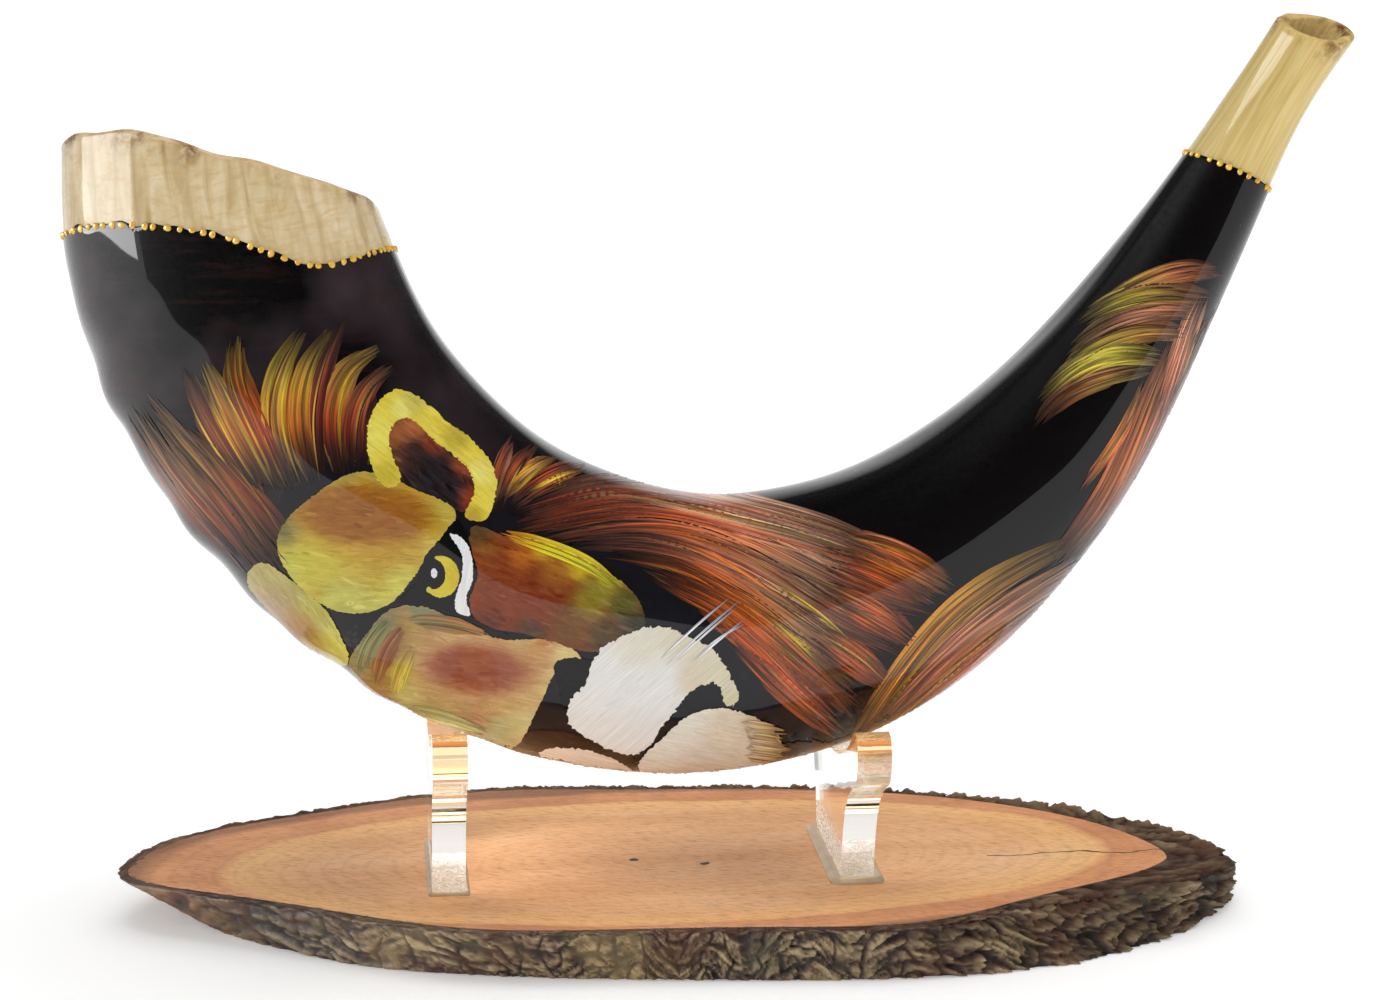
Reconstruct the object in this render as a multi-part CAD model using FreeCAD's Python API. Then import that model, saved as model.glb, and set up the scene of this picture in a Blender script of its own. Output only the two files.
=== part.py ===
"""Painted ram's-horn shofar resting on two acrylic cradles on a slice of wood.

Frame: X runs along the horn's span and through both cradles, +Y points to the back,
+Z is up. The origin is on the slice's underside, midway between the cradles.
All sizes are in millimetres.
"""
import FreeCAD, Part
import math
import os
import random

Vector = FreeCAD.Vector

# ---- Horn: driving dimensions ----
COAT_THICKNESS = 0.3      # paint and lacquer skin
THROAT_RADIUS = 4.5       # drilled passage behind the mouth cup
SECTION_POINTS = 20       # points round each cross-section
SQUARENESS = 2.2          # exponent of the cross-section, 2 is an ellipse
INNER_SQUARENESS = 2.7    # the same on the flatter, concave side of the bend
EGG_SHAPE = 0.10          # how much wider the concave side is than the convex side
ROUND_BELOW = 10.0        # half height under which a section is plainly round

# Stations along the centre line, from just past the bell rim to just past the mouth:
# centre x, y, z, half height in the plane of the bend, half depth across it, wall.
STATIONS = [
    (-104.0, 17.0, 225.0, 31.2, 29.5, 3.4),
    (-101.6, 15.0, 197.8, 33.0, 30.5, 3.4),
    (-99.7, 12.5, 169.8, 36.9, 31.5, 3.6),
    (-91.9, 10.0, 143.0, 37.8, 31.5, 4.0),
    (-78.4, 7.5, 118.8, 37.5, 31.0, 4.8),
    (-59.7, 5.0, 98.4, 36.9, 30.5, 6.0),
    (-37.0, 3.0, 82.4, 36.2, 29.5, 8.0),
    (-11.2, 1.0, 72.7, 35.1, 28.5, 10.5),
    (16.5, 0.0, 69.4, 33.6, 27.2, 13.0),
    (43.9, -1.0, 74.5, 31.6, 25.8, 15.0),
    (68.5, -2.0, 87.2, 27.9, 23.8, 16.0),
    (89.6, -3.0, 105.3, 23.6, 21.2, 16.0),
    (107.0, -4.0, 127.0, 19.2, 17.8, 15.0),
    (121.7, -5.5, 150.6, 15.0, 14.3, 11.0),
    (134.8, -7.5, 174.7, 11.5, 11.3, 8.0),
    (147.6, -10.5, 199.0, 8.9, 9.0, 4.5),
    (152.9, -12.2, 208.3, 8.7, 8.8, 3.8),
    (156.6, -13.4, 214.9, 9.1, 9.2, 2.2),
    (160.2, -14.7, 221.3, 9.6, 9.7, 1.5),
    (163.8, -16.0, 227.8, 10.0, 10.1, 1.4),
]

# Edges across the horn: a curve in the plane y = 0, carried back along a slope dz/dy.
BELL_RIM = [(-150, 195), (-136.5, 192.3), (-124, 190.4), (-101, 183.6), (-79, 178),
            (-61, 175), (-45, 172.5)]
BELL_RIM_SLOPE = -0.344
BELL_BORDER = [(-150, 168), (-137.7, 168.6), (-128, 169.5), (-114, 168.6), (-98.5, 166),
               (-85, 161), (-76, 159), (-67, 161.4), (-58.7, 164.7), (-45, 168)]
BELL_BORDER_SLOPE = -0.2
MOUTH_BORDER = [(112, 192), (129, 184.8), (138, 181.2), (146, 177), (180, 160)]
MOUTH_BORDER_SLOPE = -0.05
MOUTH_POINT = Vector(156.6, -13.3, 215.0)
MOUTH_NORMAL = Vector(0.16, -0.31, 0.94)
CUT_REACH = 90.0          # half length of a cutting block across the horn

# ---- Paint beads ----
BEAD_RADIUS = 0.82
BEAD_LATITUDE = 15.0      # a bead is the cap of a ball above this latitude
BEAD_SEAT = 0.05          # how deep a bead's flat base sits in the curved surface
BELL_BEADS = 84
MOUTH_BEADS = 24
BEAD_SCATTER = 0.22       # uneven spacing, as a share of the pitch

# ---- Slice of wood ----
SLAB_THICKNESS = 12.0
# Edge of the slice on the upper and lower face, with the bark's thickness there.
SLAB_TOP = [
    (-129, 8, 3), (-110, 38, 3), (-88, 50, 3), (-62, 61, 3), (-36, 68, 3),
    (-4, 66, 3), (30, 63, 3), (62, 57, 3), (92, 46, 4), (116, 30, 6),
    (136, 10, 12), (143, -14, 16), (130, -30, 15), (94, -43, 8), (60, -57, 5),
    (25, -56, 4), (-10, -54, 4), (-45, -50, 4), (-82, -31, 4), (-112, -13, 3),
]
SLAB_BOTTOM = [
    (-108, 6, 4), (-94, 34, 4), (-74, 47, 4), (-50, 58, 4), (-26, 65, 4),
    (4, 65, 4), (36, 63, 4), (68, 59, 4), (98, 49, 5), (124, 36, 8),
    (148, 13, 13), (143, -10, 16), (126, -32, 13), (96, -51, 9), (64, -57, 6),
    (30, -56, 5), (-4, -52, 5), (-38, -46, 5), (-74, -33, 5), (-97, -14, 4),
]

# ---- Acrylic cradles ----
CRADLE_SPACING = 98.0     # between the two plates' middle planes
PLATE_THICKNESS = 8.0
FOOT_HALF_WIDTH = 21.0
EAR_RADIUS = 4.5
GLUE_FILM = 0.4
CRADLE_BASE = SLAB_THICKNESS + GLUE_FILM
EAR_OPENING = 50.0        # degrees from an ear's crown to where the saddle starts
# Height of the saddle's lowest point, and the ear's centre (half span, height).
LEFT_SADDLE = (45.75, 43.5, 53.3)
RIGHT_SADDLE = (40.6, 41.5, 50.3)


def tangent_at(index):
    """Direction of the centre line at a station."""
    before = STATIONS[max(index - 1, 0)]
    after = STATIONS[min(index + 1, len(STATIONS) - 1)]
    step = Vector(*after[:3]) - Vector(*before[:3])
    return step.normalize()


def signed_power(value, exponent):
    return math.copysign(abs(value) ** exponent, value)


def section_wire(index, growth, hollow=False):
    """Closed cross-section at a station, grown outward, or the bore's section."""
    x, y, z, half_height, half_depth, wall = STATIONS[index]
    tangent = tangent_at(index)
    across = Vector(0, 1, 0) - tangent * tangent.y
    across.normalize()
    inward = tangent.cross(across)
    shape = min(1.0, max(0.0, (half_height - ROUND_BELOW) / ROUND_BELOW))
    if hollow:
        half_height = max(THROAT_RADIUS, half_height - wall)
        half_depth = max(THROAT_RADIUS, half_depth - wall)
    centre = Vector(x, y, z)
    points = []
    for step in range(SECTION_POINTS):
        angle = 2 * math.pi * step / SECTION_POINTS
        limit = INNER_SQUARENESS if math.cos(angle) > 0 else SQUARENESS
        power = 2 / (2 + (limit - 2) * shape)
        up = signed_power(math.cos(angle), power) * (half_height + growth)
        side = signed_power(math.sin(angle), 2 / (2 + (SQUARENESS - 2) * shape))
        side *= (half_depth + growth) * (1 + EGG_SHAPE * shape * math.cos(angle))
        points.append(centre + inward * up + across * side)
    curve = Part.BSplineCurve()
    curve.interpolate(Points=points, PeriodicFlag=True)
    return Part.Wire([curve.toShape()])


def horn_loft(growth=0.0, hollow=False):
    wires = [section_wire(index, growth, hollow) for index in range(len(STATIONS))]
    return Part.makeLoft(wires, True, False)


def edge_curve(points, slope, y):
    """The edge's curve where it stands at a given y."""
    placed = [Vector(x, y, z + slope * y) for x, z in points]
    curve = Part.BSplineCurve()
    curve.interpolate(Points=placed)
    return curve


def block_above(points, slope, height):
    """Block whose lower face is the edge's curve carried across the horn."""
    curve = edge_curve(points, slope, -CUT_REACH)
    lift = Vector(0, 0, height)
    first = curve.StartPoint
    last = curve.EndPoint
    sides = [curve.toShape(), Part.makeLine(last, last + lift),
             Part.makeLine(last + lift, first + lift), Part.makeLine(first + lift, first)]
    face = Part.Face(Part.Wire(sides))
    return face.extrude(Vector(0, 2 * CUT_REACH, 2 * CUT_REACH * slope))


def block_past_mouth():
    """Block beyond the slanted plane that ends the mouthpiece."""
    block = Part.makeBox(80, 80, 60, Vector(-40, -40, 0))
    turn = FreeCAD.Rotation(Vector(0, 0, 1), MOUTH_NORMAL)
    block.Placement = FreeCAD.Placement(MOUTH_POINT, turn) * block.Placement
    return block


def trimmed(body):
    """A horn loft cut off at the bell's rim and at the mouth."""
    body = body.cut(block_above(BELL_RIM, BELL_RIM_SLOPE, 120))
    return body.cut(block_past_mouth())


def build_coat(bare):
    """Skin between the two painted borders, lying on the bare horn."""
    skin = horn_loft(COAT_THICKNESS).cut(bare)
    skin = skin.cut(block_above(BELL_BORDER, BELL_BORDER_SLOPE, 120))
    skin = skin.cut(block_above(MOUTH_BORDER, MOUTH_BORDER_SLOPE, 120))
    return max(skin.Solids, key=lambda solid: solid.Volume)


def border_places(surface, points, slope, count, seed):
    """Place and outward direction of each bead round one border, unevenly spaced."""
    spread = random.Random(seed)
    curve = edge_curve(points, slope, -CUT_REACH).toShape()
    wall = curve.extrude(Vector(0, 2 * CUT_REACH, 2 * CUT_REACH * slope))
    side = max(surface.Faces, key=lambda face: face.Area)
    loops = [Part.Wire(group) for group in Part.sortEdges(side.section(wall).Edges)]
    loop = max(loops, key=lambda wire: wire.Length)
    fine = loop.discretize(Number=count * 20 + 1)
    middle = loop.BoundBox.Center
    places = []
    for bead in range(count):
        shift = spread.uniform(-BEAD_SCATTER, BEAD_SCATTER)
        place = fine[int(round((bead + shift) * 20)) % (count * 20)]
        outward = side.normalAt(*side.Surface.parameter(place))
        if outward.dot(place - middle) < 0:
            outward = outward * -1
        places.append((place, outward))
    return places


def build_beads(places, seed):
    """Domes seated on the surface, each a separate solid."""
    spread = random.Random(seed)
    domes = []
    for place, outward in places:
        radius = BEAD_RADIUS * spread.uniform(0.85, 1.1)
        depth = radius * math.sin(math.radians(BEAD_LATITUDE)) + BEAD_SEAT
        domes.append(Part.makeSphere(radius, place - outward * depth, outward,
                                     BEAD_LATITUDE, 90, 360))
    return Part.makeCompound(domes)


def cradle_outline(saddle):
    """Closed outline of a cradle plate in the plane x = 0."""
    saddle_height, ear_span, ear_height = saddle
    ear_tip = ear_span + EAR_RADIUS
    tip = Vector(0, ear_tip, ear_height)
    crown = Vector(0, ear_span, ear_height + EAR_RADIUS)
    opening = math.radians(EAR_OPENING)
    inner = Vector(0, ear_span - EAR_RADIUS * math.sin(opening),
                   ear_height + EAR_RADIUS * math.cos(opening))
    flank = [
        Vector(0, FOOT_HALF_WIDTH, CRADLE_BASE),
        Vector(0, FOOT_HALF_WIDTH + 1.5, CRADLE_BASE + 9),
        Vector(0, FOOT_HALF_WIDTH + 7.5, CRADLE_BASE + 21),
        Vector(0, ear_tip - 6, ear_height - 9),
        tip,
    ]
    side = Part.BSplineCurve()
    side.interpolate(Points=flank, InitialTangent=Vector(0, 0, 1),
                     FinalTangent=Vector(0, 0, 1))
    ear = Part.Arc(tip, crown, inner)
    bottom = Vector(0, 0, saddle_height)
    mirrored_inner = Vector(0, -inner.y, inner.z)
    half = [side.toShape(), ear.toShape()]
    other_half = [edge.mirror(Vector(0, 0, 0), Vector(0, 1, 0)) for edge in half]
    saddle_arc = Part.Arc(inner, bottom, mirrored_inner).toShape()
    foot = Part.makeLine(Vector(0, -FOOT_HALF_WIDTH, CRADLE_BASE), flank[0])
    ordered = Part.sortEdges(half + [saddle_arc] + other_half + [foot])[0]
    return Part.Wire(ordered)


def build_cradle(middle_x, saddle):
    outline = cradle_outline(saddle)
    plate = Part.Face(outline).extrude(Vector(PLATE_THICKNESS, 0, 0))
    plate.translate(Vector(middle_x - PLATE_THICKNESS / 2, 0, 0))
    return plate


def build_adhesive(middle_x, margin, rise, cradle):
    """Glue film under a plate, with a low bead squeezed out round its foot."""
    width = PLATE_THICKNESS + 2 * margin
    depth = 2 * (FOOT_HALF_WIDTH + margin)
    pad = Part.makeBox(width, depth, rise, Vector(middle_x - width / 2, -depth / 2, SLAB_THICKNESS))
    uprights = [edge for edge in pad.Edges if abs(edge.Vertexes[0].Z - edge.Vertexes[1].Z) > 0.1]
    pad = pad.makeFillet(margin * 0.95, uprights)
    top = [edge for edge in pad.Edges
           if min(vertex.Z for vertex in edge.Vertexes) > SLAB_THICKNESS + rise - 0.01]
    pad = pad.makeChamfer(rise * 0.6, top)
    return pad.cut(cradle)


def slab_wire(outline, z, inset):
    """Closed edge of the slice at one height, moved in by the bark or by nothing."""
    points = []
    count = len(outline)
    for index, (x, y, bark) in enumerate(outline):
        before = outline[index - 1]
        after = outline[(index + 1) % count]
        along = Vector(after[0] - before[0], after[1] - before[1], 0).normalize()
        inward = Vector(along.y, -along.x, 0)
        points.append(Vector(x, y, z) + inward * (bark if inset else 0))
    curve = Part.BSplineCurve()
    curve.interpolate(Points=points, PeriodicFlag=True)
    return Part.Wire([curve.toShape()])


def build_slab(inset):
    wires = [slab_wire(SLAB_BOTTOM, 0, inset), slab_wire(SLAB_TOP, SLAB_THICKNESS, inset)]
    return Part.makeLoft(wires, True, True)


def export(shape, node):
    shape.exportStep("parts/" + node + ".step")
    print(node, len(shape.Solids), "solid(s),", round(shape.Volume), "mm3, valid:", shape.isValid())


os.makedirs("parts", exist_ok=True)

outer = trimmed(horn_loft())
horn = outer.cut(horn_loft(hollow=True))
bell_places = border_places(outer, BELL_BORDER, BELL_BORDER_SLOPE, BELL_BEADS, 7)
mouth_places = border_places(outer, MOUTH_BORDER, MOUTH_BORDER_SLOPE, MOUTH_BEADS, 11)
bell_dots = build_beads(bell_places, 3)
mouthpiece_dots = build_beads(mouth_places, 5)
export(horn, "horn")
export(build_coat(outer), "ground_coat")
export(bell_dots, "bell_dots")
export(mouthpiece_dots, "mouthpiece_dots")

for side, sign, saddle, margin, rise in (("left", -1, LEFT_SADDLE, 1.0, 0.9),
                                         ("right", 1, RIGHT_SADDLE, 2.6, 1.6)):
    middle = sign * CRADLE_SPACING / 2
    cradle = build_cradle(middle, saddle)
    export(cradle, side + "_cradle")
    export(build_adhesive(middle, margin, rise, cradle), side + "_adhesive")

wood = build_slab(True)
export(wood, "slab_wood")
export(build_slab(False).cut(wood), "slab_bark")
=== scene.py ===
"""Looks of the painted ram's-horn shofar on its two cradles and slice of wood.

Numbers in lists are millimetres, and MM turns them into metres. The painting is drawn flat
in the plane y = 0 and thrown onto the horn from the painter's eye point.
"""
import bpy
import math
import numpy as np
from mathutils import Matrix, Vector, noise
from mathutils.bvhtree import BVHTree
from mathutils.geometry import delaunay_2d_cdt


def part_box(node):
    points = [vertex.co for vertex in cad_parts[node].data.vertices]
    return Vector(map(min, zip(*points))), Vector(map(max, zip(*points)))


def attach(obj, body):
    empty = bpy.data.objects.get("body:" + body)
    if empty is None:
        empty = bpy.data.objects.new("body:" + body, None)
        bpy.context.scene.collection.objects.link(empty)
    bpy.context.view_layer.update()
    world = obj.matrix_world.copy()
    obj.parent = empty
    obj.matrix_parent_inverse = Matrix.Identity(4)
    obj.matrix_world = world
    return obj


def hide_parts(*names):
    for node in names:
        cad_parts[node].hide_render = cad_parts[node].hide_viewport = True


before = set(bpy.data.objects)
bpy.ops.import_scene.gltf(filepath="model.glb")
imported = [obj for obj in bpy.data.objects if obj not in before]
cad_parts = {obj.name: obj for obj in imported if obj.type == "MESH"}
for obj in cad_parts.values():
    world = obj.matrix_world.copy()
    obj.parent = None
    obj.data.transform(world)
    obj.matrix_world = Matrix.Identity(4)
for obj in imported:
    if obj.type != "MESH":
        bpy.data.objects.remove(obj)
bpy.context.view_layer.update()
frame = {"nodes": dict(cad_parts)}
nodes = frame["nodes"]

MM = 0.001
EYE = np.array([-68.3, -775.0, 260.9]) * MM
VIEW_YAW = 6.0            # degrees the view turns towards +X
VIEW_DROP = 11.5          # degrees the view looks down
random = np.random.default_rng(7)

# Centre line of the horn, from past the bell to past the mouth.
CENTRE_LINE = [
    (-104, 17, 225), (-101.6, 15, 197.8), (-99.7, 12.5, 169.8), (-91.9, 10, 143),
    (-78.4, 7.5, 118.8), (-59.7, 5, 98.4), (-37, 3, 82.4), (-11.2, 1, 72.7),
    (16.5, 0, 69.4), (43.9, -1, 74.5), (68.5, -2, 87.2), (89.6, -3, 105.3),
    (107, -4, 127), (121.7, -5.5, 150.6), (134.8, -7.5, 174.7), (147.6, -10.5, 199),
    (156.6, -13.4, 214.9), (163.8, -16, 227.8),
]
REACH = 0.06              # rays start this far out from the centre line
COAT = 0.3 * MM           # thickness of the paint skin
LIP = 0.9 * MM            # how far a rounded lip stands past the cut edge
BEAD_DROP = 4 * MM        # beads are dropped onto the finished skins from this far out
FLOOR_GAP = 0.05 * MM     # the bark's underside stays this far above the table
BARK_RISE = 2.4 * MM      # how far the bark may stand above the slice's face
FROSTED_FOOT = 8.2 * MM   # height of the top of a cradle tinted amber, a painted reflection of the wood below
WOOD_REFLECTION_EAR = 11 * MM       # height of the tinted part of a cradle
CRACK_START = 84 * MM     # x where the crack in the wood begins
CRACK_HALF_WIDTH = 0.3 * MM
KNOTS = ((-3 * MM, 2 * MM), (14 * MM, -3 * MM))
KNOT_RADIUS = 2.1 * MM
TABLE = 15                # half size of the pale table, in metres

# How finely the pieces are divided: points round them and rows along them.
HORN_COLUMNS, OUTER_ROWS, INNER_ROWS = 200, 290, 140
COAT_COLUMNS, COAT_ROWS = 220, 330
BARK_COLUMNS, BARK_ROWS = 1300, 22
BEAD_COLUMNS = 14
BEAD_LEVELS = (-0.25, 0.12, 0.42, 0.68, 0.88, 0.985)

GROUND = np.array((26.0, 20, 22))
BASE_WEIGHT = 0.07        # how much of an area's base colour shows among its tones
PAINT_RANGE = (4, 252)    # darkest and lightest paint
HAIR = 0.4                # usual half width of a bristle's mark
LONG_LOCK = 45            # a lock this long has its cross-sections further apart
SHORT_STEP, LONG_STEP = 1.25, 2.0
# Passes over a lock: share of its bristles, their breadth, change of colour, height.
PASSES = ((0.4, 2.4, 0.08, 0.0), (0.7, 1.2, 0.14, 0.05), (0.5, 0.5, 0.26, 0.1))


# ---------------------------------------------------------------- curves and meshes

def cubic(points, count, closed=False):
    """Smooth curve through the points, as count samples at even steps along it."""
    points = np.asarray(points, float)
    wanted = len(points)
    if closed:
        points = np.vstack([points[-3:], points, points[:4]])
    chord = np.concatenate([[0], np.cumsum(np.linalg.norm(np.diff(points, axis=0), axis=1))])
    step = np.diff(chord)
    size = len(points)
    system = np.eye(size)
    right = np.zeros_like(points)
    for i in range(1, size - 1):
        system[i, i - 1:i + 2] = (step[i - 1], 2 * (step[i - 1] + step[i]), step[i])
        after = (points[i + 1] - points[i]) / step[i]
        before = (points[i] - points[i - 1]) / step[i - 1]
        right[i] = 6 * (after - before)
    bend = np.linalg.solve(system, right)
    first, last = (chord[3], chord[3 + wanted]) if closed else (0.0, chord[-1])
    t = np.linspace(first, last, max(count * 6, 200))
    i = np.clip(np.searchsorted(chord, t, "right") - 1, 0, size - 2)
    a = ((chord[i + 1] - t) / step[i])[:, None]
    b = 1 - a
    dense = a * points[i] + b * points[i + 1]
    dense += ((a ** 3 - a) * bend[i] + (b ** 3 - b) * bend[i + 1]) * (step[i] ** 2)[:, None] / 6
    run = np.concatenate([[0], np.cumsum(np.linalg.norm(np.diff(dense, axis=0), axis=1))])
    even = np.linspace(0, run[-1], count + 1)[:-1] if closed else np.linspace(0, run[-1], count)
    return np.stack([np.interp(even, run, dense[:, k]) for k in range(points.shape[1])], 1)


def smoothstep(low, high, value):
    t = np.clip((value - low) / (high - low), 0, 1)
    return t * t * (3 - 2 * t)


def unit(vectors):
    return vectors / np.maximum(np.linalg.norm(vectors, axis=-1, keepdims=True), 1e-12)


def noise_at(points, scale, octaves=3, seed=0.0):
    """Smooth noise in about -1..1 at each point, with features about scale metres wide."""
    out = np.empty(len(points))
    for k, p in enumerate(points):
        place = Vector((p[0] / scale + seed, p[1] / scale, p[2] / scale))
        out[k] = noise.fractal(place, 0.7, 2.0, octaves)
    return out


def make_piece(name, vertices, faces, material, body, attributes=None, normals=None):
    """A smooth-shaded mesh piece that rides on a body. attributes: name -> (kind, array)."""
    mesh = bpy.data.meshes.new(name)
    mesh.from_pydata([tuple(v) for v in vertices], [], [tuple(f) for f in faces])
    mesh.polygons.foreach_set("use_smooth", [True] * len(mesh.polygons))
    for key, (kind, values) in (attributes or {}).items():
        layer = mesh.attributes.new(key, kind, "POINT")
        field = {"FLOAT_COLOR": "color", "FLOAT_VECTOR": "vector", "FLOAT": "value"}[kind]
        layer.data.foreach_set(field, np.asarray(values, np.float32).ravel())
    mesh.materials.append(material)
    mesh.update()
    if normals is not None:
        mesh.normals_split_custom_set_from_vertices([tuple(n) for n in normals])
    piece = bpy.data.objects.new(name, mesh)
    into_scene(piece)
    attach(piece, body)
    return piece


def grid_faces(rows, columns, wrap_rows=False, flip=False):
    """Quads of a grid whose columns close on themselves."""
    faces = []
    for i in range(rows if wrap_rows else rows - 1):
        below = ((i + 1) % rows) * columns
        for j in range(columns):
            k = (j + 1) % columns
            quad = (i * columns + j, i * columns + k, below + k, below + j)
            faces.append(quad[::-1] if flip else quad)
    return faces


def ray_tree(piece):
    """Ray-casting tree of a piece's mesh."""
    mesh = piece.data
    return BVHTree.FromPolygons([v.co for v in mesh.vertices], [p.vertices for p in mesh.polygons])


def into_scene(piece):
    bpy.context.scene.collection.objects.link(piece)


# ---------------------------------------------------------------- materials

def linear(channels):
    """Display values 0-255 to the linear values that materials use."""
    shares = np.asarray(channels, float) / 255
    return np.where(shares <= 0.04045, shares / 12.92, ((shares + 0.055) / 1.055) ** 2.4)


def rgb(red, green, blue):
    return tuple(linear((red, green, blue)).tolist())


class Graph:
    """Small helper that adds and links the shader nodes of one tree."""

    def __init__(self, tree):
        self.tree = tree

    def add(self, kind, **settings):
        node = self.tree.nodes.new("ShaderNode" + kind)
        for key, value in settings.items():
            setattr(node, key, value)
        return node

    def link(self, source, target):
        self.tree.links.new(source, target)

    def place(self):
        return self.add("TexCoord").outputs["Object"]

    def axes(self, source):
        """The X, Y and Z of a vector."""
        split = self.add("SeparateXYZ")
        self.link(source, split.inputs[0])
        return split.outputs

    def vector(self, operation, source, constant=None):
        node = self.add("VectorMath", operation=operation)
        self.link(source, node.inputs[0])
        if constant:
            node.inputs[1].default_value = constant
        return node.outputs

    def scaled(self, source, scale):
        mapping = self.add("Mapping")
        mapping.inputs["Scale"].default_value = scale
        self.link(source, mapping.inputs["Vector"])
        return mapping.outputs["Vector"]

    def noise(self, source, scale, detail=4.0, roughness=0.55, distortion=0.0):
        texture = self.add("TexNoise")
        for key, value in (("Scale", scale), ("Detail", detail), ("Roughness", roughness),
                           ("Distortion", distortion)):
            texture.inputs[key].default_value = value
        self.link(source, texture.inputs["Vector"])
        return texture.outputs["Fac"]

    def ramp(self, source, stops):
        """Colour ramp from (position, colour or grey) stops."""
        ramp = self.add("ValToRGB")
        elements = ramp.color_ramp.elements
        while len(elements) < len(stops):
            elements.new(0.5)
        for element, (position, colour) in zip(elements, stops):
            element.position = position
            element.color = (*colour, 1) if isinstance(colour, tuple) else (colour,) * 3 + (1,)
        self.link(source, ramp.inputs["Fac"])
        return ramp.outputs["Color"]

    def fade(self, source, low, high, top=1.0):
        """Grey from 0 at low to top at high."""
        return self.ramp(source, [(low, 0.0), (high, top)])

    def mix(self, factor, first, second, blend="MIX"):
        mix = self.add("Mix", data_type="RGBA", blend_type=blend)
        for value, socket in ((factor, mix.inputs[0]), (first, mix.inputs[6]), (second, mix.inputs[7])):
            if isinstance(value, tuple):
                socket.default_value = (*value, 1)
            elif isinstance(value, (int, float)):
                socket.default_value = value if socket == mix.inputs[0] else (value,) * 3 + (1,)
            else:
                self.link(value, socket)
        return mix.outputs[2]

    def math(self, operation, first, second=0.0):
        node = self.add("Math", operation=operation)
        for value, socket in ((first, node.inputs[0]), (second, node.inputs[1])):
            if isinstance(value, (int, float)):
                socket.default_value = value
            else:
                self.link(value, socket)
        return node.outputs[0]

    def times(self, first, second):
        return self.math("MULTIPLY", first, second)

    def plus(self, first, second):
        return self.math("ADD", first, second)

    def attribute(self, name, output="Color"):
        return self.add("Attribute", attribute_name=name).outputs[output]


class Nodes(Graph):
    """The nodes of one new material."""

    def __init__(self, name):
        self.material = bpy.data.materials.new(name)
        self.material.use_nodes = True
        super().__init__(self.material.node_tree)
        self.shader = self.tree.nodes["Principled BSDF"]

    def bump(self, height, strength, distance):
        bump = self.add("Bump")
        bump.inputs["Strength"].default_value = strength
        bump.inputs["Distance"].default_value = distance
        self.link(height, bump.inputs["Height"])
        self.link(bump.outputs["Normal"], self.shader.inputs["Normal"])

    def set(self, **values):
        """Constant shader inputs; an underscore in a name stands for a space."""
        for key, value in values.items():
            self.shader.inputs[key.replace("_", " ")].default_value = value

    def colour(self, source):
        self.link(source, self.shader.inputs["Base Color"])

    def roughness(self, source):
        self.link(source, self.shader.inputs["Roughness"])


def lacquer(nodes, roughness=0.035):
    """Clear glossy coat brushed over everything on the horn."""
    nodes.set(Coat_Weight=1.0, Coat_Roughness=roughness, Coat_IOR=1.38, Specular_IOR_Level=0.08)


def coat_material():
    """Near-black aubergine ground paint, with faint brown brush marks under the lacquer."""
    n = Nodes("ground_coat_paint")
    place = n.place()
    sides = n.axes(place)
    towards_bell = n.fade(n.times(sides["X"], -10.0), 0.1, 0.8)
    base = n.mix(towards_bell, rgb(6, 2, 4), rgb(62, 50, 54))
    broad = n.mix(n.fade(n.noise(place, 32, 3), 0.4, 0.7), rgb(5, 3, 5), base)
    marks = n.noise(n.scaled(place, (60, 60, 420)), 1.0, 5)
    brushed = n.mix(towards_bell, rgb(16, 6, 5), rgb(70, 32, 26))
    n.colour(n.mix(n.fade(marks, 0.52, 0.75, 0.3), broad, brushed))
    n.roughness(n.ramp(n.noise(place, 900, 2), [(0.35, 0.42), (0.7, 0.6)]))
    lacquer(n)
    n.bump(n.noise(place, 55, 2), 0.25, 0.0006)
    return n.material


def horn_material():
    """Bare horn: cream and straw streaks along it, growth bands, stains by the edges, and a patchily browner
    inner surface.
    """
    n = Nodes("bare_horn")
    along = n.attribute("horn_place", "Vector")
    place = n.place()
    streaks = n.noise(n.scaled(along, (0.7, 1.3, 1.0)), 3.0, 5, 0.5, 0.8)
    bands = n.noise(n.scaled(along, (5.0, 0.7, 1.0)), 6.0, 4, 0.55, 0.6)
    clouds = n.noise(place, 60, 4)
    cream = n.ramp(streaks, [(0.3, rgb(182, 156, 110)), (0.5, rgb(212, 192, 150)),
                             (0.72, rgb(230, 214, 180))])
    warm = n.mix(n.fade(bands, 0.45, 0.72, 0.55), cream, rgb(196, 158, 98))
    warm = n.mix(n.fade(clouds, 0.5, 0.8, 0.4), warm, rgb(226, 206, 176))
    mouth = n.attribute("mouth_end", "Fac")
    straw = n.ramp(streaks, [(0.32, rgb(202, 174, 104)), (0.55, rgb(217, 193, 128)),
                             (0.75, rgb(228, 208, 150))])
    body = n.mix(mouth, warm, straw)
    stain = n.times(n.attribute("stain", "Fac"), n.fade(n.noise(place, 420, 5, 0.7), 0.38, 0.54))
    n.colour(n.mix(stain, body, rgb(112, 66, 36)))
    n.roughness(n.ramp(clouds, [(0.3, 0.28), (0.7, 0.42)]))
    lacquer(n, 0.06)
    n.set(Coat_Weight=0.55, Subsurface_Weight=0.25, Subsurface_Scale=0.004)
    n.bump(n.noise(n.scaled(along, (2.0, 1.6, 1.0)), 8.0, 4), 0.1, 0.0004)
    return n.material


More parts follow.
